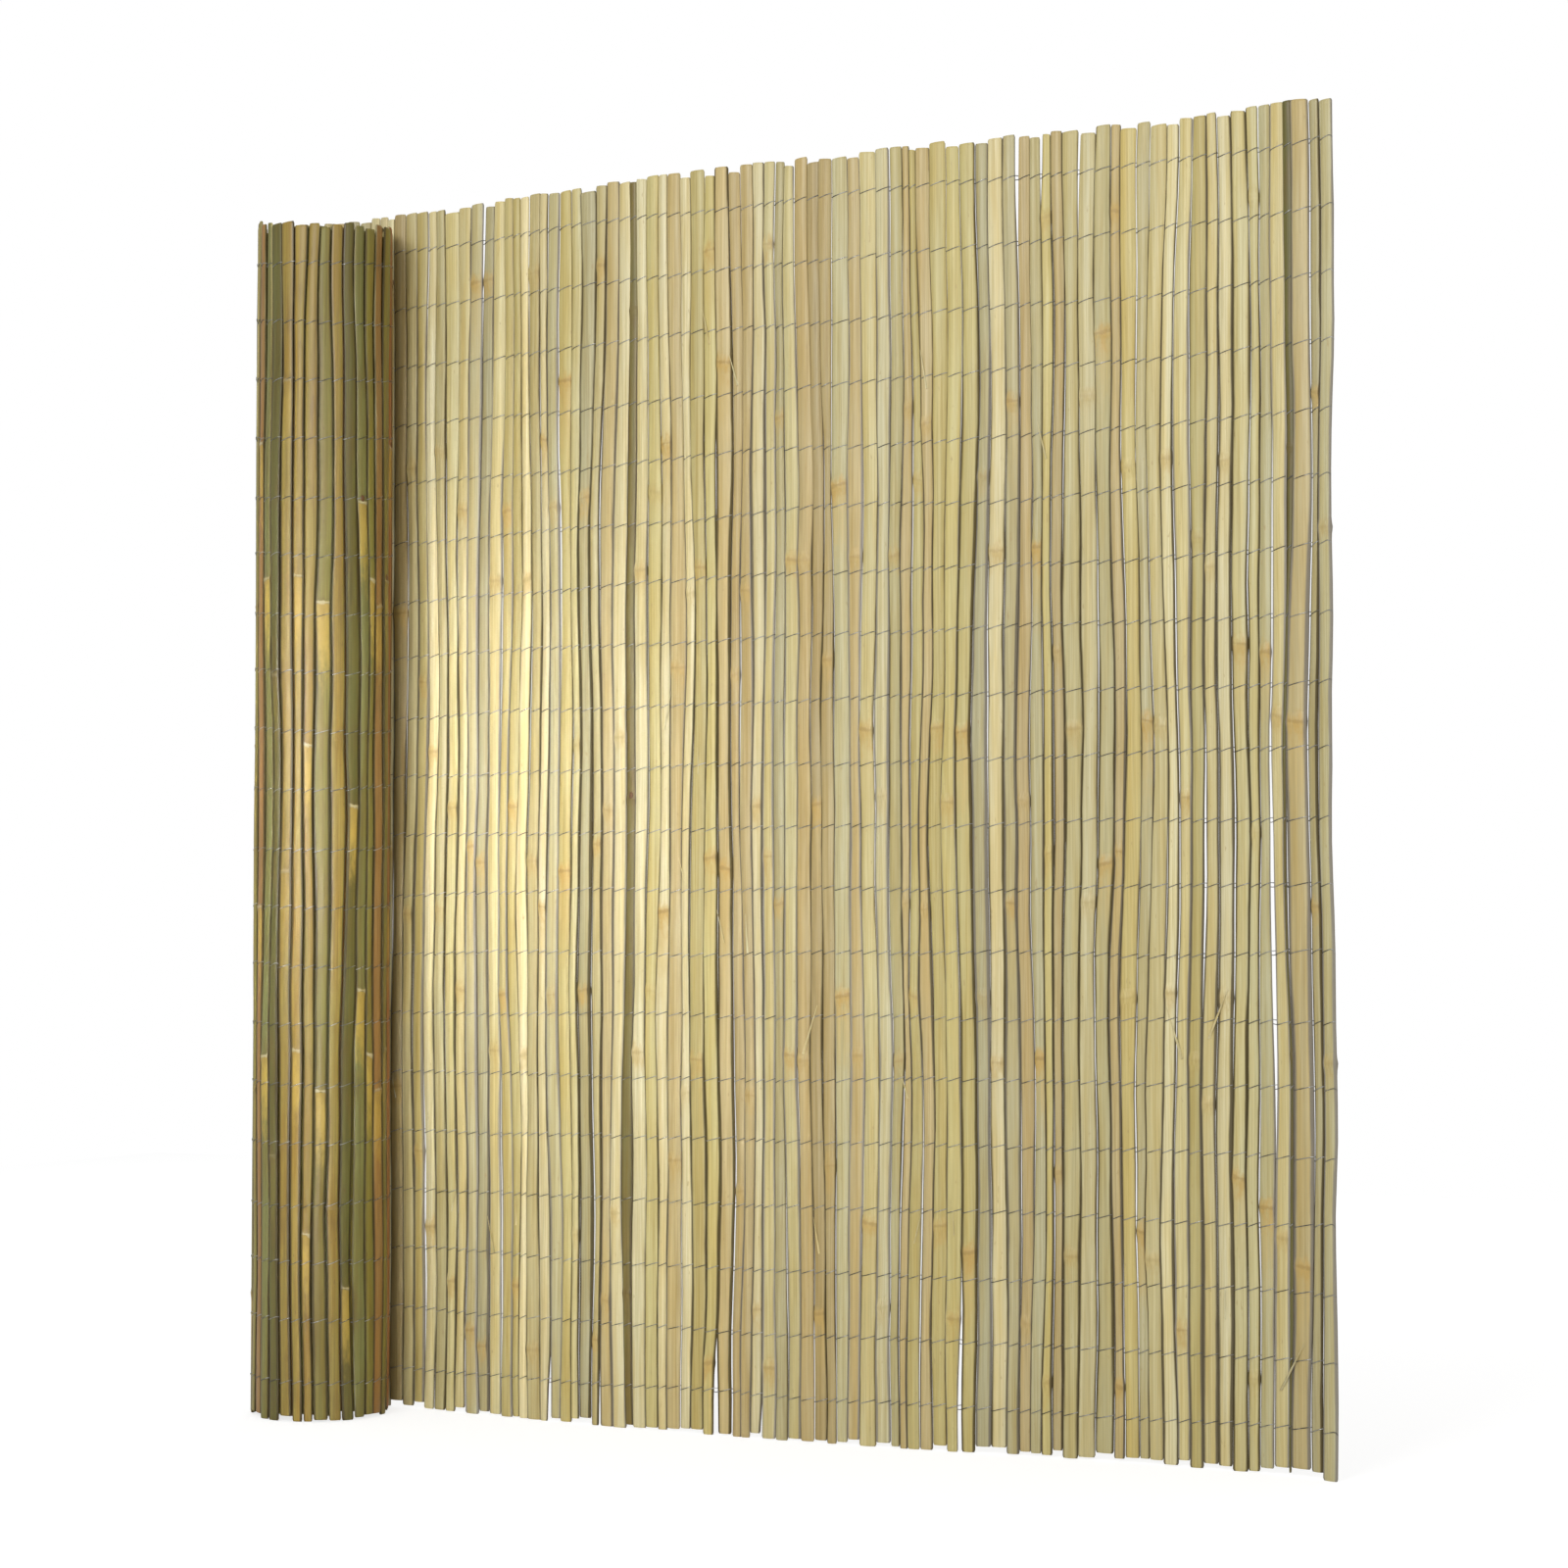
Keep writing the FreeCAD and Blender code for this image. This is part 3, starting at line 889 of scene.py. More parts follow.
@dataclass(frozen=True)
class FrameReader:
    """Reads the slats out of the frame's nodes."""

    merge: float = 0.01 * MM
    raised: float = 0.3 * MM
    end_band: float = 1.0 * MM
    normal_digits: int = 2
    level_digits: int = 3
    flat: float = math.radians(1.0)
    upright: float = 0.1
    facing_out: float = 0.5
    coil_thickness: float = 3.3 * MM

    def merged(self, node: str) -> bmesh.types.BMesh:
        """A copy of a node's mesh with its corners merged.

        Args:
            node: the node's name.

        Returns:
            The merged copy.
        """
        mesh = bmesh.new()
        mesh.from_mesh(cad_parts[node].data)
        bmesh.ops.remove_doubles(mesh, verts=mesh.verts, dist=self.merge)
        mesh.normal_update()
        return mesh

    def islands(self, mesh: bmesh.types.BMesh) -> list[list[bmesh.types.BMVert]]:
        """Corners of each separate solid in a mesh.

        Args:
            mesh: a merged mesh.

        Returns:
            One list of vertices for each solid.
        """
        found = []
        seen: set[int] = set()
        mesh.verts.index_update()
        for start in mesh.verts:
            if start.index in seen:
                continue
            seen.add(start.index)
            island = [start]
            for vert in island:
                for edge in vert.link_edges:
                    other = edge.other_vert(vert)
                    if other.index not in seen:
                        seen.add(other.index)
                        island.append(other)
            found.append(island)
        return found

    def slats(self, node: str) -> list[Slat]:
        """The slats of a node.

        Args:
            node: the node's name.

        Returns:
            One slat for each solid of the node.
        """
        mesh = self.merged(node)
        found = [self.slat(island) for island in self.islands(mesh)]
        mesh.free()
        return found

    def slat(self, island: list[bmesh.types.BMVert]) -> Slat:
        """Measure one slat: its split face is the largest flat face, and its knuckles stand above the skin.

        Args:
            island: the corners of its solid.

        Returns:
            The measured slat.
        """
        areas: dict[tuple[float, ...], float] = {}
        for face in {face for vert in island for face in vert.link_faces}:
            key = tuple(round(value, self.normal_digits) for value in face.normal)
            areas[key] = areas.get(key, 0.0) + face.calc_area()
        outward = -Vector(max(areas, key=areas.get))
        outward = Vector((outward.x, outward.y, 0.0)).normalized()
        low = min(vert.co.z for vert in island)
        high = max(vert.co.z for vert in island)
        feet = [vert.co for vert in island if vert.co.z < low + self.end_band]
        heads = [vert.co for vert in island if vert.co.z > high - self.end_band]
        base = sum(feet, Vector()) / len(feet)
        up = (sum(heads, Vector()) / len(heads) - base).normalized()
        across = outward.cross(up)
        sides = [(point - base).dot(across) for point in feet]
        depths = [(point - base).dot(outward) for point in feet]
        width = max(sides) - min(sides)
        thickness = max(depths) - min(depths)
        foot = base + across * (max(sides) + min(sides)) / 2.0 + outward * min(depths)
        raised = min(depths) + thickness + self.raised
        rises = [vert.co - base for vert in island if (vert.co - base).dot(outward) > raised]
        knuckles = sorted({round(rise.dot(up), self.level_digits) for rise in rises})
        return Slat(foot, up, outward, width, thickness, high - low, knuckles)

    def coil(self, node: str, gap: float) -> list[Slat]:
        """Slats of the inner turns, one for each outward facet of the coil's solid.

        Args:
            node: the node's name.
            gap: free space between neighbouring slats.

        Returns:
            The slats, in the order of the facets.
        """
        mesh = self.merged(node)
        bmesh.ops.dissolve_limit(mesh, angle_limit=self.flat, verts=mesh.verts, edges=mesh.edges)
        low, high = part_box(node)
        middle, length = (low + high) / 2.0, high.z - low.z
        found = []
        for face in mesh.faces:
            centre = face.calc_center_bounds()
            radial = Vector((centre.x - middle.x, centre.y - middle.y, 0.0)).normalized()
            if abs(face.normal.z) > self.upright or face.normal.dot(radial) < self.facing_out:
                continue
            width = face.calc_area() / length - gap
            foot = Vector((centre.x, centre.y, low.z)) - face.normal * self.coil_thickness
            found.append(Slat(foot, UP.copy(), face.normal.copy(), width, self.coil_thickness, length, []))
        mesh.free()
        return found


def marked_mesh() -> bmesh.types.BMesh:
    """An empty mesh with the attributes that the finishes read.

    Returns:
        The mesh.
    """
    mesh = bmesh.new()
    for name in KNUCKLE_MARKS + EDGE_MARKS:
        mesh.verts.layers.float.new(name)
    for name in TONE_MARKS:
        mesh.verts.layers.float_color.new(name)
    return mesh


@dataclass
class SlatMaker:
    """Builds slats by extruding their section from foot to head."""

    ring_step: float = 27.0 * MM
    straight_steps: int = 2
    end_round: float = 1.5 * MM
    end_share: float = 0.88
    split_shares: tuple[float, ...] = (-0.96, -0.78, -0.42, 0.0, 0.42, 0.78, 0.96)
    skin_shares: tuple[float, ...] = (0.96, 0.55, 0.0, -0.55, -0.96)
    edge_shares: tuple[float, ...] = (0.4, 0.72)
    knuckle_rings: tuple[float, ...] = (-9.0, -5.0, -2.0, 0.0, 1.5, 3.5, 7.0)
    knuckle_room: float = 9.0 * MM

    def section(self, slat: Slat) -> list[Span]:
        """Section of a slat: a split face rounded by wear, square edges and a round skin.

        Args:
            slat: the slat.

        Returns:
            Share across and distance outward of each corner, the split face first.
        """
        split = [(share, slat.depth_at(share, False)) for share in self.split_shares]
        skin = [(share, slat.depth_at(share, True)) for share in self.skin_shares]
        near, far = (slat.thickness * share for share in self.edge_shares)
        return split + [(1.0, near), (1.0, far)] + skin + [(-1.0, far), (-1.0, near)]

    def levels(self, slat: Slat) -> list[float]:
        """Levels of a slat's rings, closer at its knuckles and ends.

        Args:
            slat: the slat.

        Returns:
            Distances from the foot, in order.
        """
        steps = round(slat.length / self.ring_step) if slat.crooked else self.straight_steps
        found = [slat.length * number / steps for number in range(steps + 1)]
        near = [knuckle + ring * MM for knuckle in slat.knuckles for ring in self.knuckle_rings]
        found = [level for level in found if all(abs(level - other) > self.knuckle_room for other in near)]
        found += [0.0, self.end_round, slat.length - self.end_round, slat.length]
        return sorted({level for level in found + near if 0.0 <= level <= slat.length})

    def build(self, slats: list[Slat]) -> bmesh.types.BMesh:
        """Build slats into one mesh.

        Args:
            slats: the slats.

        Returns:
            The mesh of all of them.
        """
        whole = bmesh.new()
        for slat in slats:
            single = self.extrude(slat)
            part = bpy.data.meshes.new("slat")
            single.to_mesh(part)
            single.free()
            whole.from_mesh(part)
            bpy.data.meshes.remove(part)
        return whole

    def extrude(self, slat: Slat) -> bmesh.types.BMesh:
        """Build one slat.

        Args:
            slat: the slat.

        Returns:
            Its mesh, with the attributes that the finishes read.
        """
        mesh = marked_mesh()
        corner = mesh.verts.layers.int.new("corner")
        section = self.section(slat)
        levels = self.levels(slat)
        verts = [mesh.verts.new(slat.point(share, outward, levels[0])) for share, outward in section]
        for number, vert in enumerate(verts):
            vert[corner] = number
            self.shape(slat, mesh, vert, section[number], levels[0])
        face = mesh.faces.new(verts)
        for level in levels[1:]:
            grown = bmesh.ops.extrude_face_region(mesh, geom=[face])["geom"]
            face = next(item for item in grown if isinstance(item, bmesh.types.BMFace))
            for vert in face.verts:
                self.shape(slat, mesh, vert, section[vert[corner]], level)
        first_skin = len(self.split_shares) + len(self.edge_shares)
        skin_corners = range(first_skin, first_skin + len(self.skin_shares))
        for item in mesh.faces:
            corners = [vert[corner] for vert in item.verts]
            # The sides' faces have four corners, the sawn ends' many more
            item.smooth = len(corners) == 4
            item.material_index = int(item.smooth and all(number in skin_corners for number in corners))
        bmesh.ops.recalc_face_normals(mesh, faces=mesh.faces)
        return mesh

    def shape(self, slat: Slat, mesh: bmesh.types.BMesh, vert: bmesh.types.BMVert, place: Span,
              level: float) -> None:
        """Set one corner of a ring in its place and write what the finishes read.

        Args:
            slat: the slat.
            mesh: the slat's mesh.
            vert: the ring's vertex.
            place: its share across and distance outward in the section.
            level: the ring's distance from the foot.
        """
        share, outward = place
        ring = slat.ring(level)
        middle = slat.thickness / 2.0
        deep = outward + ring.ridge if outward > middle else outward - slat.front_swell * ring.swell
        at_end = min(level, slat.length - level) < self.end_round / 2.0
        shrink = self.end_share if at_end else 1.0
        slope = slat.head_slope * share * slat.width if at_end and level > slat.length / 2.0 else 0.0
        vert.co = slat.point(share * shrink, middle + (deep - middle) * shrink, level + slope)
        tilt = slat.band_tilt * share
        over = max(0.0, min(FAR, slat.over(level) / MM + tilt))
        under = max(0.0, min(FAR, slat.under(level) / MM - tilt))
        # Where painted shade falls along the edges, and how grey it is
        edges = (share * slat.edge_shade_reach(level), slat.grey_gap_shade)
        for name, value in zip(KNUCKLE_MARKS + EDGE_MARKS, (over, under, *edges)):
            vert[mesh.verts.layers.float[name]] = value
        for name, tone in zip(TONE_MARKS, (slat.split_tone, slat.skin_tone)):
            vert[mesh.verts.layers.float_color[name]] = tone


def make_object(name: str, mesh: bpy.types.Mesh, materials: list[bpy.types.Material]) -> bpy.types.Object:
    """Link a finished mesh into the scene as a piece that rides on the one body.

    Args:
        name: the piece's name.
        mesh: its mesh, already in place.
        materials: its materials in the order of the mesh's indices.

    Returns:
        The new object.
    """
    piece = bpy.data.objects.new(name, mesh)
    bpy.context.scene.collection.objects.link(piece)
    for material in materials:
        mesh.materials.append(material)
    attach(piece, "root")
    LOG.info("%s: %d faces", name, len(mesh.polygons))
    return piece


@dataclass
class Mat:
    """The whole mat: its slats in order from the roll to the free edge, and those inside the roll."""

    rng: random.Random
    reader: FrameReader
    panel: list[Slat] = field(default_factory=list)
    outer: list[Slat] = field(default_factory=list)
    coil: list[Slat] = field(default_factory=list)
    named: dict[str, Slat] = field(default_factory=dict)
    flat: list[Slat] = field(default_factory=list)
    path: list[Slat] = field(default_factory=list)
    back_of_roll: float = math.radians(88.0)
    # Slats at the nip get a pale tone: painted light against the roll's shade on them
    painted_light_nip: int = 3
    pale_edge: int = 4
    nip_slat: int = 5
    roll_gap: float = 0.8 * MM
    lapped: float = 4.2 * MM
    coil_gap: float = 1.0 * MM
    coil_lift: Waver = Waver(7.0 * MM, 0.0, 17.7)
    lightness: Span = (0.85, 1.16)
    warmth: float = 0.025
    twist: float = math.radians(8.0)
    head_slope: float = 0.05
    # Spread of the painted edge shade's width, and the power that keeps grey painted shade rare
    rim_shade: Span = (0.84, 1.2)
    grey_gap_shade_power: int = 3
    band_tilt: float = 1.6
    kink: float = 2.0 * MM

    SPLIT_MIX = {
        SplitTone.CREAM: 6,
        SplitTone.STRAW: 3,
        SplitTone.ASH: 3,
        SplitTone.TAN: 2,
        SplitTone.PALE: 2,
    }
    SKIN_MIX = {
        SkinTone.OLIVE: 6,
        SkinTone.SAGE: 4,
        SkinTone.RUSSET: 2,
        SkinTone.OCHRE: 2,
        SkinTone.MOSS: 2,
    }

    def read(self) -> None:
        """Read the slats, order them along the mat and give each its crookedness and colours."""
        self.panel = self.reader.slats("panel_slats")
        for node in ("free_edge_slat", "reversed_slat_near_roll", "reversed_slat_near_edge"):
            self.named[node] = self.reader.slats(node)[0]
            self.named[node].turned = node.startswith("reversed")
        self.outer = self.reader.slats("outer_turn_slats")
        self.coil = self.reader.coil("inner_turns", self.coil_gap)
        # Round the roll, the mat runs clockwise seen from above and ends at its back
        self.outer.sort(key=self.turn, reverse=True)
        self.flat = sorted(self.panel + list(self.named.values()), key=lambda slat: slat.foot.x)
        self.path = self.outer + self.flat
        for number, slat in enumerate(self.path + self.coil):
            slat.station = float(number)
            self.age(slat)
        for slat, after in zip(self.path, self.path[1:]):
            slat.after = after
            after.before = slat
        self.settle()
        self.single_out()

    def settle(self) -> None:
        """Wind the roll tight, stand its inner slats plumb and open the panel's gaps."""
        for slat in self.outer:
            slat.least_gap = self.roll_gap
            # The roll's slats get only dark painted shade along their edges, no grey
            slat.grey_gap_shade = 0.0
        for slat in self.coil:
            slat.crooked = 0.0
            # Inside the roll the feet end a little above the ground, so the outer turn's uneven feet show
            lift = self.coil_lift.reach + slat.drift(0.0, self.coil_lift)
            slat.foot.z += lift
            slat.length -= lift
        for number, openings in OPENINGS.items():
            self.flat[number].openings = list(openings)

    def single_out(self) -> None:
        """Give the slats that stand out in the mat their own tones, and lighten those at the nip as painted
        light.
        """
        # Paler tone at the nip: painted light that lifts the roll's shade
        for slat in self.flat[:self.painted_light_nip]:
            slat.split_tone = self.vary(SplitTone.PALE.value)
        for slat in self.path[-self.pale_edge:]:
            slat.split_tone = self.vary(SplitTone.BLEACHED.value)
        self.outer[self.nip_slat].skin_tone = self.vary(SkinTone.RUST.value)
        for slat in self.named.values():
            if slat.turned:
                slat.skin_tone = (*self.vary(SkinTone.DULL.value)[:3], 0.0)
        lapped = self.named["reversed_slat_near_edge"]
        lapped.lapped = self.lapped
        lapped.skin_tone = (*self.vary(SkinTone.MOSS.value)[:3], 0.0)
        lapped.after.split_tone = self.vary(SplitTone.TAN.value)

    def turn(self, slat: Slat) -> float:
        """Angle of a slat round the roll, anti-clockwise from just past the back.

        Args:
            slat: a slat of the roll.

        Returns:
            The angle in radians, from nought to a full turn.
        """
        low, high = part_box("inner_turns")
        spoke = slat.foot - (low + high) / 2.0
        return (math.atan2(spoke.y, spoke.x) - self.back_of_roll) % (2.0 * math.pi)

    def vary(self, colour: Rgb) -> Rgba:
        """A colour a little lighter or darker and warmer or cooler.

        Args:
            colour: the display colour to vary.

        Returns:
            The varied colour as linear values, with how strongly its knuckles are marked as alpha.
        """
        red, green, blue, _ = linear(colour)
        light = self.rng.uniform(*self.lightness)
        warm = self.rng.uniform(-self.warmth, self.warmth)
        marked = self.rng.random()
        return red * light * (1.0 + warm), green * light, blue * light * (1.0 - warm), marked

    def age(self, slat: Slat) -> None:
        """Give a slat its own crookedness and colours.

        Args:
            slat: the slat to age.
        """
        rng = self.rng
        slat.twist = rng.uniform(-self.twist, self.twist)
        slat.head_slope = rng.uniform(-self.head_slope, self.head_slope)
        # Width of the painted shade along its edges, and how grey that shade is
        slat.rim_shade = rng.uniform(*self.rim_shade)
        slat.grey_gap_shade = rng.random() ** self.grey_gap_shade_power
        slat.band_tilt = rng.uniform(-self.band_tilt, self.band_tilt)
        slat.kinks = [rng.uniform(-self.kink, self.kink) for _ in slat.knuckles]
        split = rng.choices(list(self.SPLIT_MIX), self.SPLIT_MIX.values())[0]
        skin = rng.choices(list(self.SKIN_MIX), self.SKIN_MIX.values())[0]
        slat.split_tone = self.vary(split.value)
        slat.skin_tone = self.vary(skin.value)


@dataclass
class SlatPieces:
    """The slats as pieces of the scene."""

    mat: Mat
    maker: SlatMaker
    split: bpy.types.Material
    skin: bpy.types.Material
    sharp: float = math.radians(42.0)

    def dress(self, node: str, slats: list[Slat]) -> None:
        """Build slats as one piece that stands for a node.

        Args:
            node: the node that the piece replaces.
            slats: its slats.
        """
        built = self.maker.build(slats)
        mesh = bpy.data.meshes.new(f"bamboo_{node}")
        built.to_mesh(mesh)
        built.free()
        mesh.set_sharp_from_angle(angle=self.sharp)
        piece = make_object(f"bamboo_{node}", mesh, [self.split, self.skin])
        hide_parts(node)

    def build(self) -> None:
        """Build every slat of the mat."""
        self.dress("panel_slats", self.mat.panel)
        for node, slat in self.mat.named.items():
            self.dress(node, [slat])
        self.dress("outer_turn_slats", self.mat.outer)
        self.dress("inner_turns", self.mat.coil)


@dataclass
class Oddments:
    """Splinters that stand off the split faces, and buds that sit on the skin by the knuckles."""

    mat: Mat
    rng: random.Random
    split: bpy.types.Material
    skin: bpy.types.Material
    splinters: int = 18
    splinter_length: float = 40.0 * MM
    splinter_width: float = 1.2 * MM
    splinter_heights: Span = (0.06, 0.94)
    splinter_lean: float = 0.3
    splinter_sizes: Span = (0.4, 0.8)
    splinter_lift: Span = (0.04, 0.14)
    splinter_sides: int = 4
    splinter_tip: float = 0.125
    splinter_middle: float = 0.48
    buds: int = 9
    bud_shape: Vector = field(default_factory=lambda: Vector((2.0, 0.9, 3.0)) * MM)
    bud_colour: Rgb = (112, 80, 42)
    bud_reach: float = 0.3
    bud_segments: int = 10
    bud_rings: int = 6

    # The largest splinters: number in the panel counted from the roll, height of the root and sideways lean
    LOOSE = ((76, 0.062, 0.55), (71, 0.315, 0.42), (69, 0.30, -0.3), (40, 0.30, 0.35))

    @staticmethod
    def mark(mesh: bmesh.types.BMesh, verts: list[bmesh.types.BMVert], tone: Rgba) -> None:
        """Mark vertices as plain bamboo away from any knuckle.

        Args:
            mesh: the mesh.
            verts: the vertices to mark.
            tone: their colour.
        """
        for vert in verts:
            for name in KNUCKLE_MARKS:
                vert[mesh.verts.layers.float[name]] = FAR
            for name in TONE_MARKS:
                vert[mesh.verts.layers.float_color[name]] = tone

    def finish(self, name: str, mesh: bmesh.types.BMesh, material: bpy.types.Material, slot: str) -> None:
        """Turn a mesh into a piece.

        Args:
            name: the piece's name.
            mesh: its mesh, already in place.
            material: its finish.
            slot: name of a material slot; not used.
        """
        data = bpy.data.meshes.new(name)
        mesh.to_mesh(data)
        mesh.free()
        make_object(name, data, [material])

    def build(self) -> None:
        """Build the splinters and the buds."""
        self.build_splinters()
        self.build_buds()

    def build_splinters(self) -> None:
        """Slivers with one end on a split face and the other a little off it."""
        rng = self.rng
        mesh = marked_mesh()
        places = [(self.mat.flat[number], height, lean, 1.0) for number, height, lean in self.LOOSE]
        for _ in range(self.splinters):
            slat = rng.choice(self.mat.panel)
            height = rng.uniform(*self.splinter_heights)
            lean = rng.uniform(-self.splinter_lean, self.splinter_lean)
            places.append((slat, height, lean, rng.uniform(*self.splinter_sizes)))
        for slat, height, lean, size in places:
            length, width = size * self.splinter_length, size * self.splinter_width
            root = slat.contact(0.0, Face.FRONT, height, 0.0)
            way = UP + slat.across * lean - slat.outward * rng.uniform(*self.splinter_lift)
            stand = Matrix.Translation(root) @ way.to_track_quat("Z", "Y").to_matrix().to_4x4()
            made = bmesh.ops.create_cone(
                mesh, cap_ends=True, segments=self.splinter_sides, radius1=width,
                radius2=width * self.splinter_tip, depth=length,
                matrix=stand @ Matrix.Translation((0.0, 0.0, length * self.splinter_middle)),
            )
            self.mark(mesh, made["verts"], self.mat.vary(SplitTone.PALE.value))
        self.finish("splinters", mesh, self.split, "split_bamboo")

    def build_buds(self) -> None:
        """Flat buds on the roll's skin, and one on the reversed slat by the roll."""
        near_roll = self.mat.named["reversed_slat_near_roll"]
        places = [(near_roll, Face.FRONT, near_roll.knuckles[len(near_roll.knuckles) // 2])]
        knotted = [slat for slat in self.mat.outer if slat.knuckles]
        for slat in self.rng.sample(knotted, self.buds):
            places.append((slat, Face.BACK, self.rng.choice(slat.knuckles)))
        mesh = marked_mesh()
        for slat, face, knuckle in places:
            height = slat.foot.z + slat.up.z * (knuckle + self.bud_shape.z)
            spot = slat.contact(self.rng.uniform(-self.bud_reach, self.bud_reach), face, height, 0.0)
            turn = slat.outward.to_track_quat("Y", "Z").to_matrix().to_4x4()
            made = bmesh.ops.create_uvsphere(
                mesh, u_segments=self.bud_segments, v_segments=self.bud_rings, radius=1.0,
                matrix=Matrix.Translation(spot) @ turn @ Matrix.Diagonal((*self.bud_shape, 1.0)),
            )
            self.mark(mesh, made["verts"], (*linear(self.bud_colour)[:3], 0.0))
        for item in mesh.faces:
            item.smooth = True
        self.finish("buds", mesh, self.skin, "bamboo_skin")


@dataclass
class BindingWires:
    """Rows of twined wire: two strands that change sides between every two slats."""

    mat: Mat
    finish: bpy.types.Material
    radius: float = 0.34 * MM
    slant: float = 1.7 * MM
    wander: Waver = Waver(3.4 * MM, 2.7, 11.3, 0.085)
    jitter: Waver = Waver(0.9 * MM, 4.1, 2.9, 0.9)
    askew: float = 0.85
    resting_shares: tuple[float, ...] = (-0.8, 0.0, 0.8)
    roundness: int = 1
    order: int = 3
    smoothness: int = 2

    def build(self) -> None:
        """Build one piece for each wire row of the frame."""
        rows = sorted(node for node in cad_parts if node.startswith("binding_wire"))
        for number, node in enumerate(rows):
            low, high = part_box(node)
            self.row(node, number, (low.z + high.z) / 2.0)

    def dip(self, slat: Slat) -> float:
        """How far the rows sink on the roll, whose slats stand lower at the head.

        Args:
            slat: the slat that a row crosses.

        Returns:
            The share of its height that a row sinks by.
        """
        if slat not in self.mat.outer:
            return 0.0
        head = CAD_BOX[1].z
        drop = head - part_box("inner_turns")[1].z
        return drop / head * (1.0 - math.cos(self.askew * self.mat.turn(slat))) / 2.0

    def height(self, slat: Slat, number: int, level: float) -> float:
        """Height of a row at a slat: its level in the frame, less its dip, with its wander."""
        stray = slat.drift(number, self.wander) + slat.drift(number, self.jitter)
        return level * (1.0 - self.dip(slat)) + stray

    def strand(self, number: int, level: float, phase: int) -> list[Vector]:
        """Points of one strand from the roll to the free edge.

        Args:
            number: the row's number.
            level: the row's height in the frame.
            phase: which of the two strands it is.

        Returns:
            The points in order.
        """
        path = self.mat.path
        points = []
        for place, slat in enumerate(path):
            height = self.height(slat, number, level)
            face = Face.FRONT if (place + phase) % 2 == 0 else Face.BACK
            rise = self.slant if face is Face.FRONT else -self.slant
            for share in self.resting_shares:
                points.append(slat.contact(share, face, height + rise * share, self.radius))
            if place + 1 < len(path):
                after = path[place + 1]
                points.append((slat.edge(1.0, height + rise) + after.edge(-1.0, height + rise)) / 2.0)
        return points

    def row(self, node: str, number: int, level: float) -> None:
        """Build one row as a smooth wire that turns back round the free edge.

        Args:
            node: the wire's node.
            number: the row's number.
            level: the row's height in the frame.
        """
        edge = self.mat.path[-1]
        bend = edge.edge(1.0, level) + edge.across * self.radius
        points = self.strand(number, level, 0) + [bend] + self.strand(number, level, 1)[::-1]
        curve = bpy.data.curves.new(node, "CURVE")
        curve.dimensions = "3D"
        curve.bevel_depth = self.radius
        curve.bevel_resolution = self.roundness
        curve.use_fill_caps = True
        spline = curve.splines.new("NURBS")
        spline.points.add(len(points) - 1)
        for point, target in zip(points, spline.points):
            target.co = (*point, 1.0)
        spline.order_u = self.order
        spline.use_endpoint_u = True
        spline.resolution_u = self.smoothness
        holder = bpy.data.objects.new(node, curve)
        mesh = bpy.data.meshes.new_from_object(holder)
        bpy.data.objects.remove(holder)
        bpy.data.curves.remove(curve)
        mesh.materials.clear()
        mesh.shade_smooth()
        piece = make_object(f"twined_{node.removeprefix('binding_')}", mesh, [self.finish])
        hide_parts(node)


@dataclass(frozen=True)
class Lamp:
    """A square soft lamp: its place and aim, its side in metres, its watts and its beam in degrees."""

    name: str
    place: Point
    target: Point
    side: float
    power: float
    beam: float = 180.0

    def hang(self) -> None:
        """Hang the lamp in the scene."""
        data = bpy.data.lights.new(self.name, "AREA")
        data.size = self.side
        data.energy = self.power
        data.spread = math.radians(self.beam)
        lamp = bpy.data.objects.new(self.name, data)
        lamp.location = self.place
        way = Vector(self.target) - Vector(self.place)
        lamp.rotation_euler = way.to_track_quat("-Z", "Y").to_euler()
        bpy.context.scene.collection.objects.link(lamp)


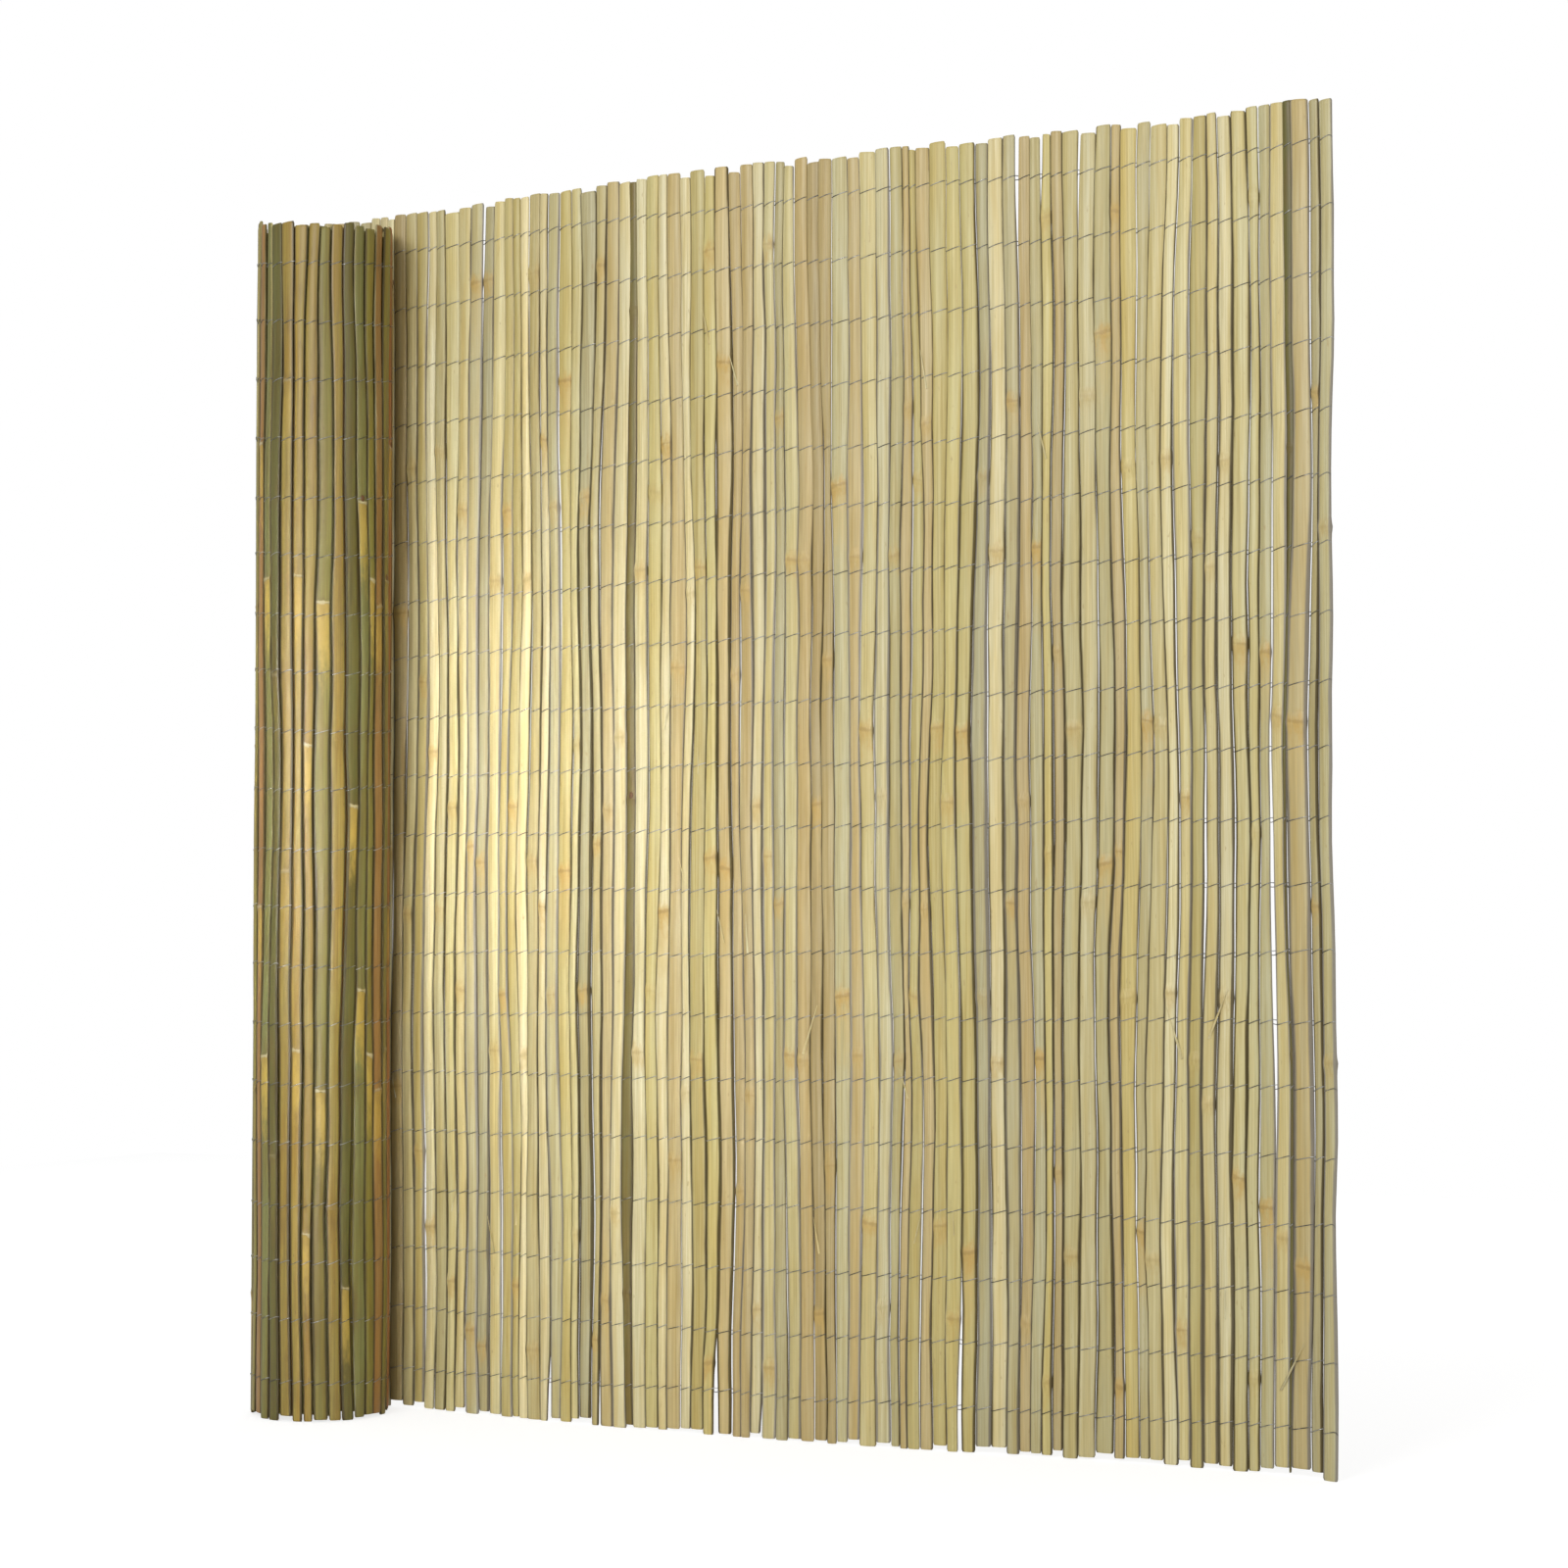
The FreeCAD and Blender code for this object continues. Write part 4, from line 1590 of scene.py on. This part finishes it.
@dataclass(frozen=True)
class Studio:
    """Floor, light and camera."""

    floor_size: float = 5.2
    floor_tone: Rgba = (0.86, 0.86, 0.86, 1.0)
    floor_roughness: float = 0.9
    floor_glow: float = 1.27
    glow_share: float = 0.6
    surround: Span = (0.55, 1.0)
    lamps: tuple[Lamp, ...] = (
        Lamp("front_lamp", (-0.1, -2.7, 1.6), (0.0, 0.0, 0.5), 1.2, 38.5),
        Lamp("side_lamp", (2.2, -1.8, 1.3), (-0.2, 0.0, 0.6), 1.4, 12.0),
        Lamp("pool_lamp", (-0.85, -2.5, 0.65), (-0.3, 0.03, 0.54), 0.25, 0.2, 12.0),
        Lamp("left_lamp", (0.6, -2.5, 0.4), (-0.33, 0.03, 0.36), 0.4, 0.46, 22.0),
        Lamp("back_lamp", (-0.9, 2.8, 1.9), (0.0, 0.0, 0.5), 1.6, 24.0),
    )
    sensor: float = 36.0
    lens: float = 69.43
    eye: Point = (1.0595, -2.0729, 0.3737)
    yaw: float = 26.395
    pitch: float = 1.804
    rise: float = 0.05

    def build(self) -> None:
        """Build the floor, the lights and the camera."""
        self.lay_floor()
        self.light()
        self.aim()

    def lay_floor(self) -> None:
        """A pale floor that keeps the shadow and meets the white background."""
        shape = bmesh.new()
        bmesh.ops.create_grid(shape, x_segments=1, y_segments=1, size=self.floor_size / 2.0)
        mesh = bpy.data.meshes.new("floor")
        shape.to_mesh(mesh)
        shape.free()
        material, tree, shader = start_material("floor_paper")
        shader.inputs["Base Color"].default_value = self.floor_tone
        shader.inputs["Roughness"].default_value = self.floor_roughness
        shader.inputs["Specular IOR Level"].default_value = 0.0
        glow = tree.add("ShaderNodeEmission")
        glow.inputs["Strength"].default_value = self.floor_glow
        blend = tree.add("ShaderNodeMixShader")
        path = tree.add("ShaderNodeLightPath")
        tree.feed(blend.inputs["Fac"], tree.math("MULTIPLY", path.outputs["Is Camera Ray"], self.glow_share))
        tree.feed(blend.inputs[1], shader.outputs["BSDF"])
        tree.feed(blend.inputs[2], glow.outputs["Emission"])
        tree.feed(material.node_tree.nodes["Material Output"].inputs["Surface"], blend.outputs["Shader"])
        mesh.materials.append(material)
        floor = bpy.data.objects.new("floor", mesh)
        bpy.context.scene.collection.objects.link(floor)

    def light(self) -> None:
        """An even white surround, and soft lamps in front of the mat and behind it."""
        world = bpy.data.worlds.new("white_surround")
        bpy.context.scene.world = world
        world.use_nodes = True
        tree = Tree(world.node_tree)
        ground = world.node_tree.nodes["Background"]
        ground.inputs["Color"].default_value = (1.0, 1.0, 1.0, 1.0)
        path = tree.add("ShaderNodeLightPath")
        seen = tree.math("MAXIMUM", path.outputs["Is Camera Ray"], path.outputs["Is Transmission Ray"])
        tree.feed(ground.inputs["Strength"], tree.spread(seen, self.surround))
        for lamp in self.lamps:
            lamp.hang()

    def aim(self) -> None:
        """The camera, turned left and a little up, its frame shifted up so that uprights look upright."""
        data = bpy.data.cameras.new("camera")
        data.lens = self.lens
        data.sensor_width = self.sensor
        data.shift_y = self.rise
        camera = bpy.data.objects.new("camera", data)
        camera.location = self.eye
        camera.rotation_euler = (math.radians(90.0 + self.pitch), 0.0, math.radians(self.yaw))
        bpy.context.scene.collection.objects.link(camera)
        bpy.context.scene.camera = camera
        bpy.context.scene.view_settings.view_transform = "Standard"


def main() -> None:
    """Build the mat and its studio in order."""
    logging.basicConfig(level=logging.INFO, format="%(name)s %(message)s")
    rng = random.Random(SEED)
    finishes = Finishes(BambooFibre().group(), KnuckleBands().group())
    mat = Mat(rng, FrameReader())
    mat.read()
    LOG.info("%d panel slats, %d round the roll, %d inside", len(mat.flat), len(mat.outer), len(mat.coil))
    split = SplitFinish().material(finishes)
    skin = SkinFinish().material(finishes)
    SlatPieces(mat, SlatMaker(), split, skin).build()
    Oddments(mat, rng, split, skin).build()
    BindingWires(mat, WireFinish().material()).build()
    Studio().build()


if __name__ == "__main__":
    main()
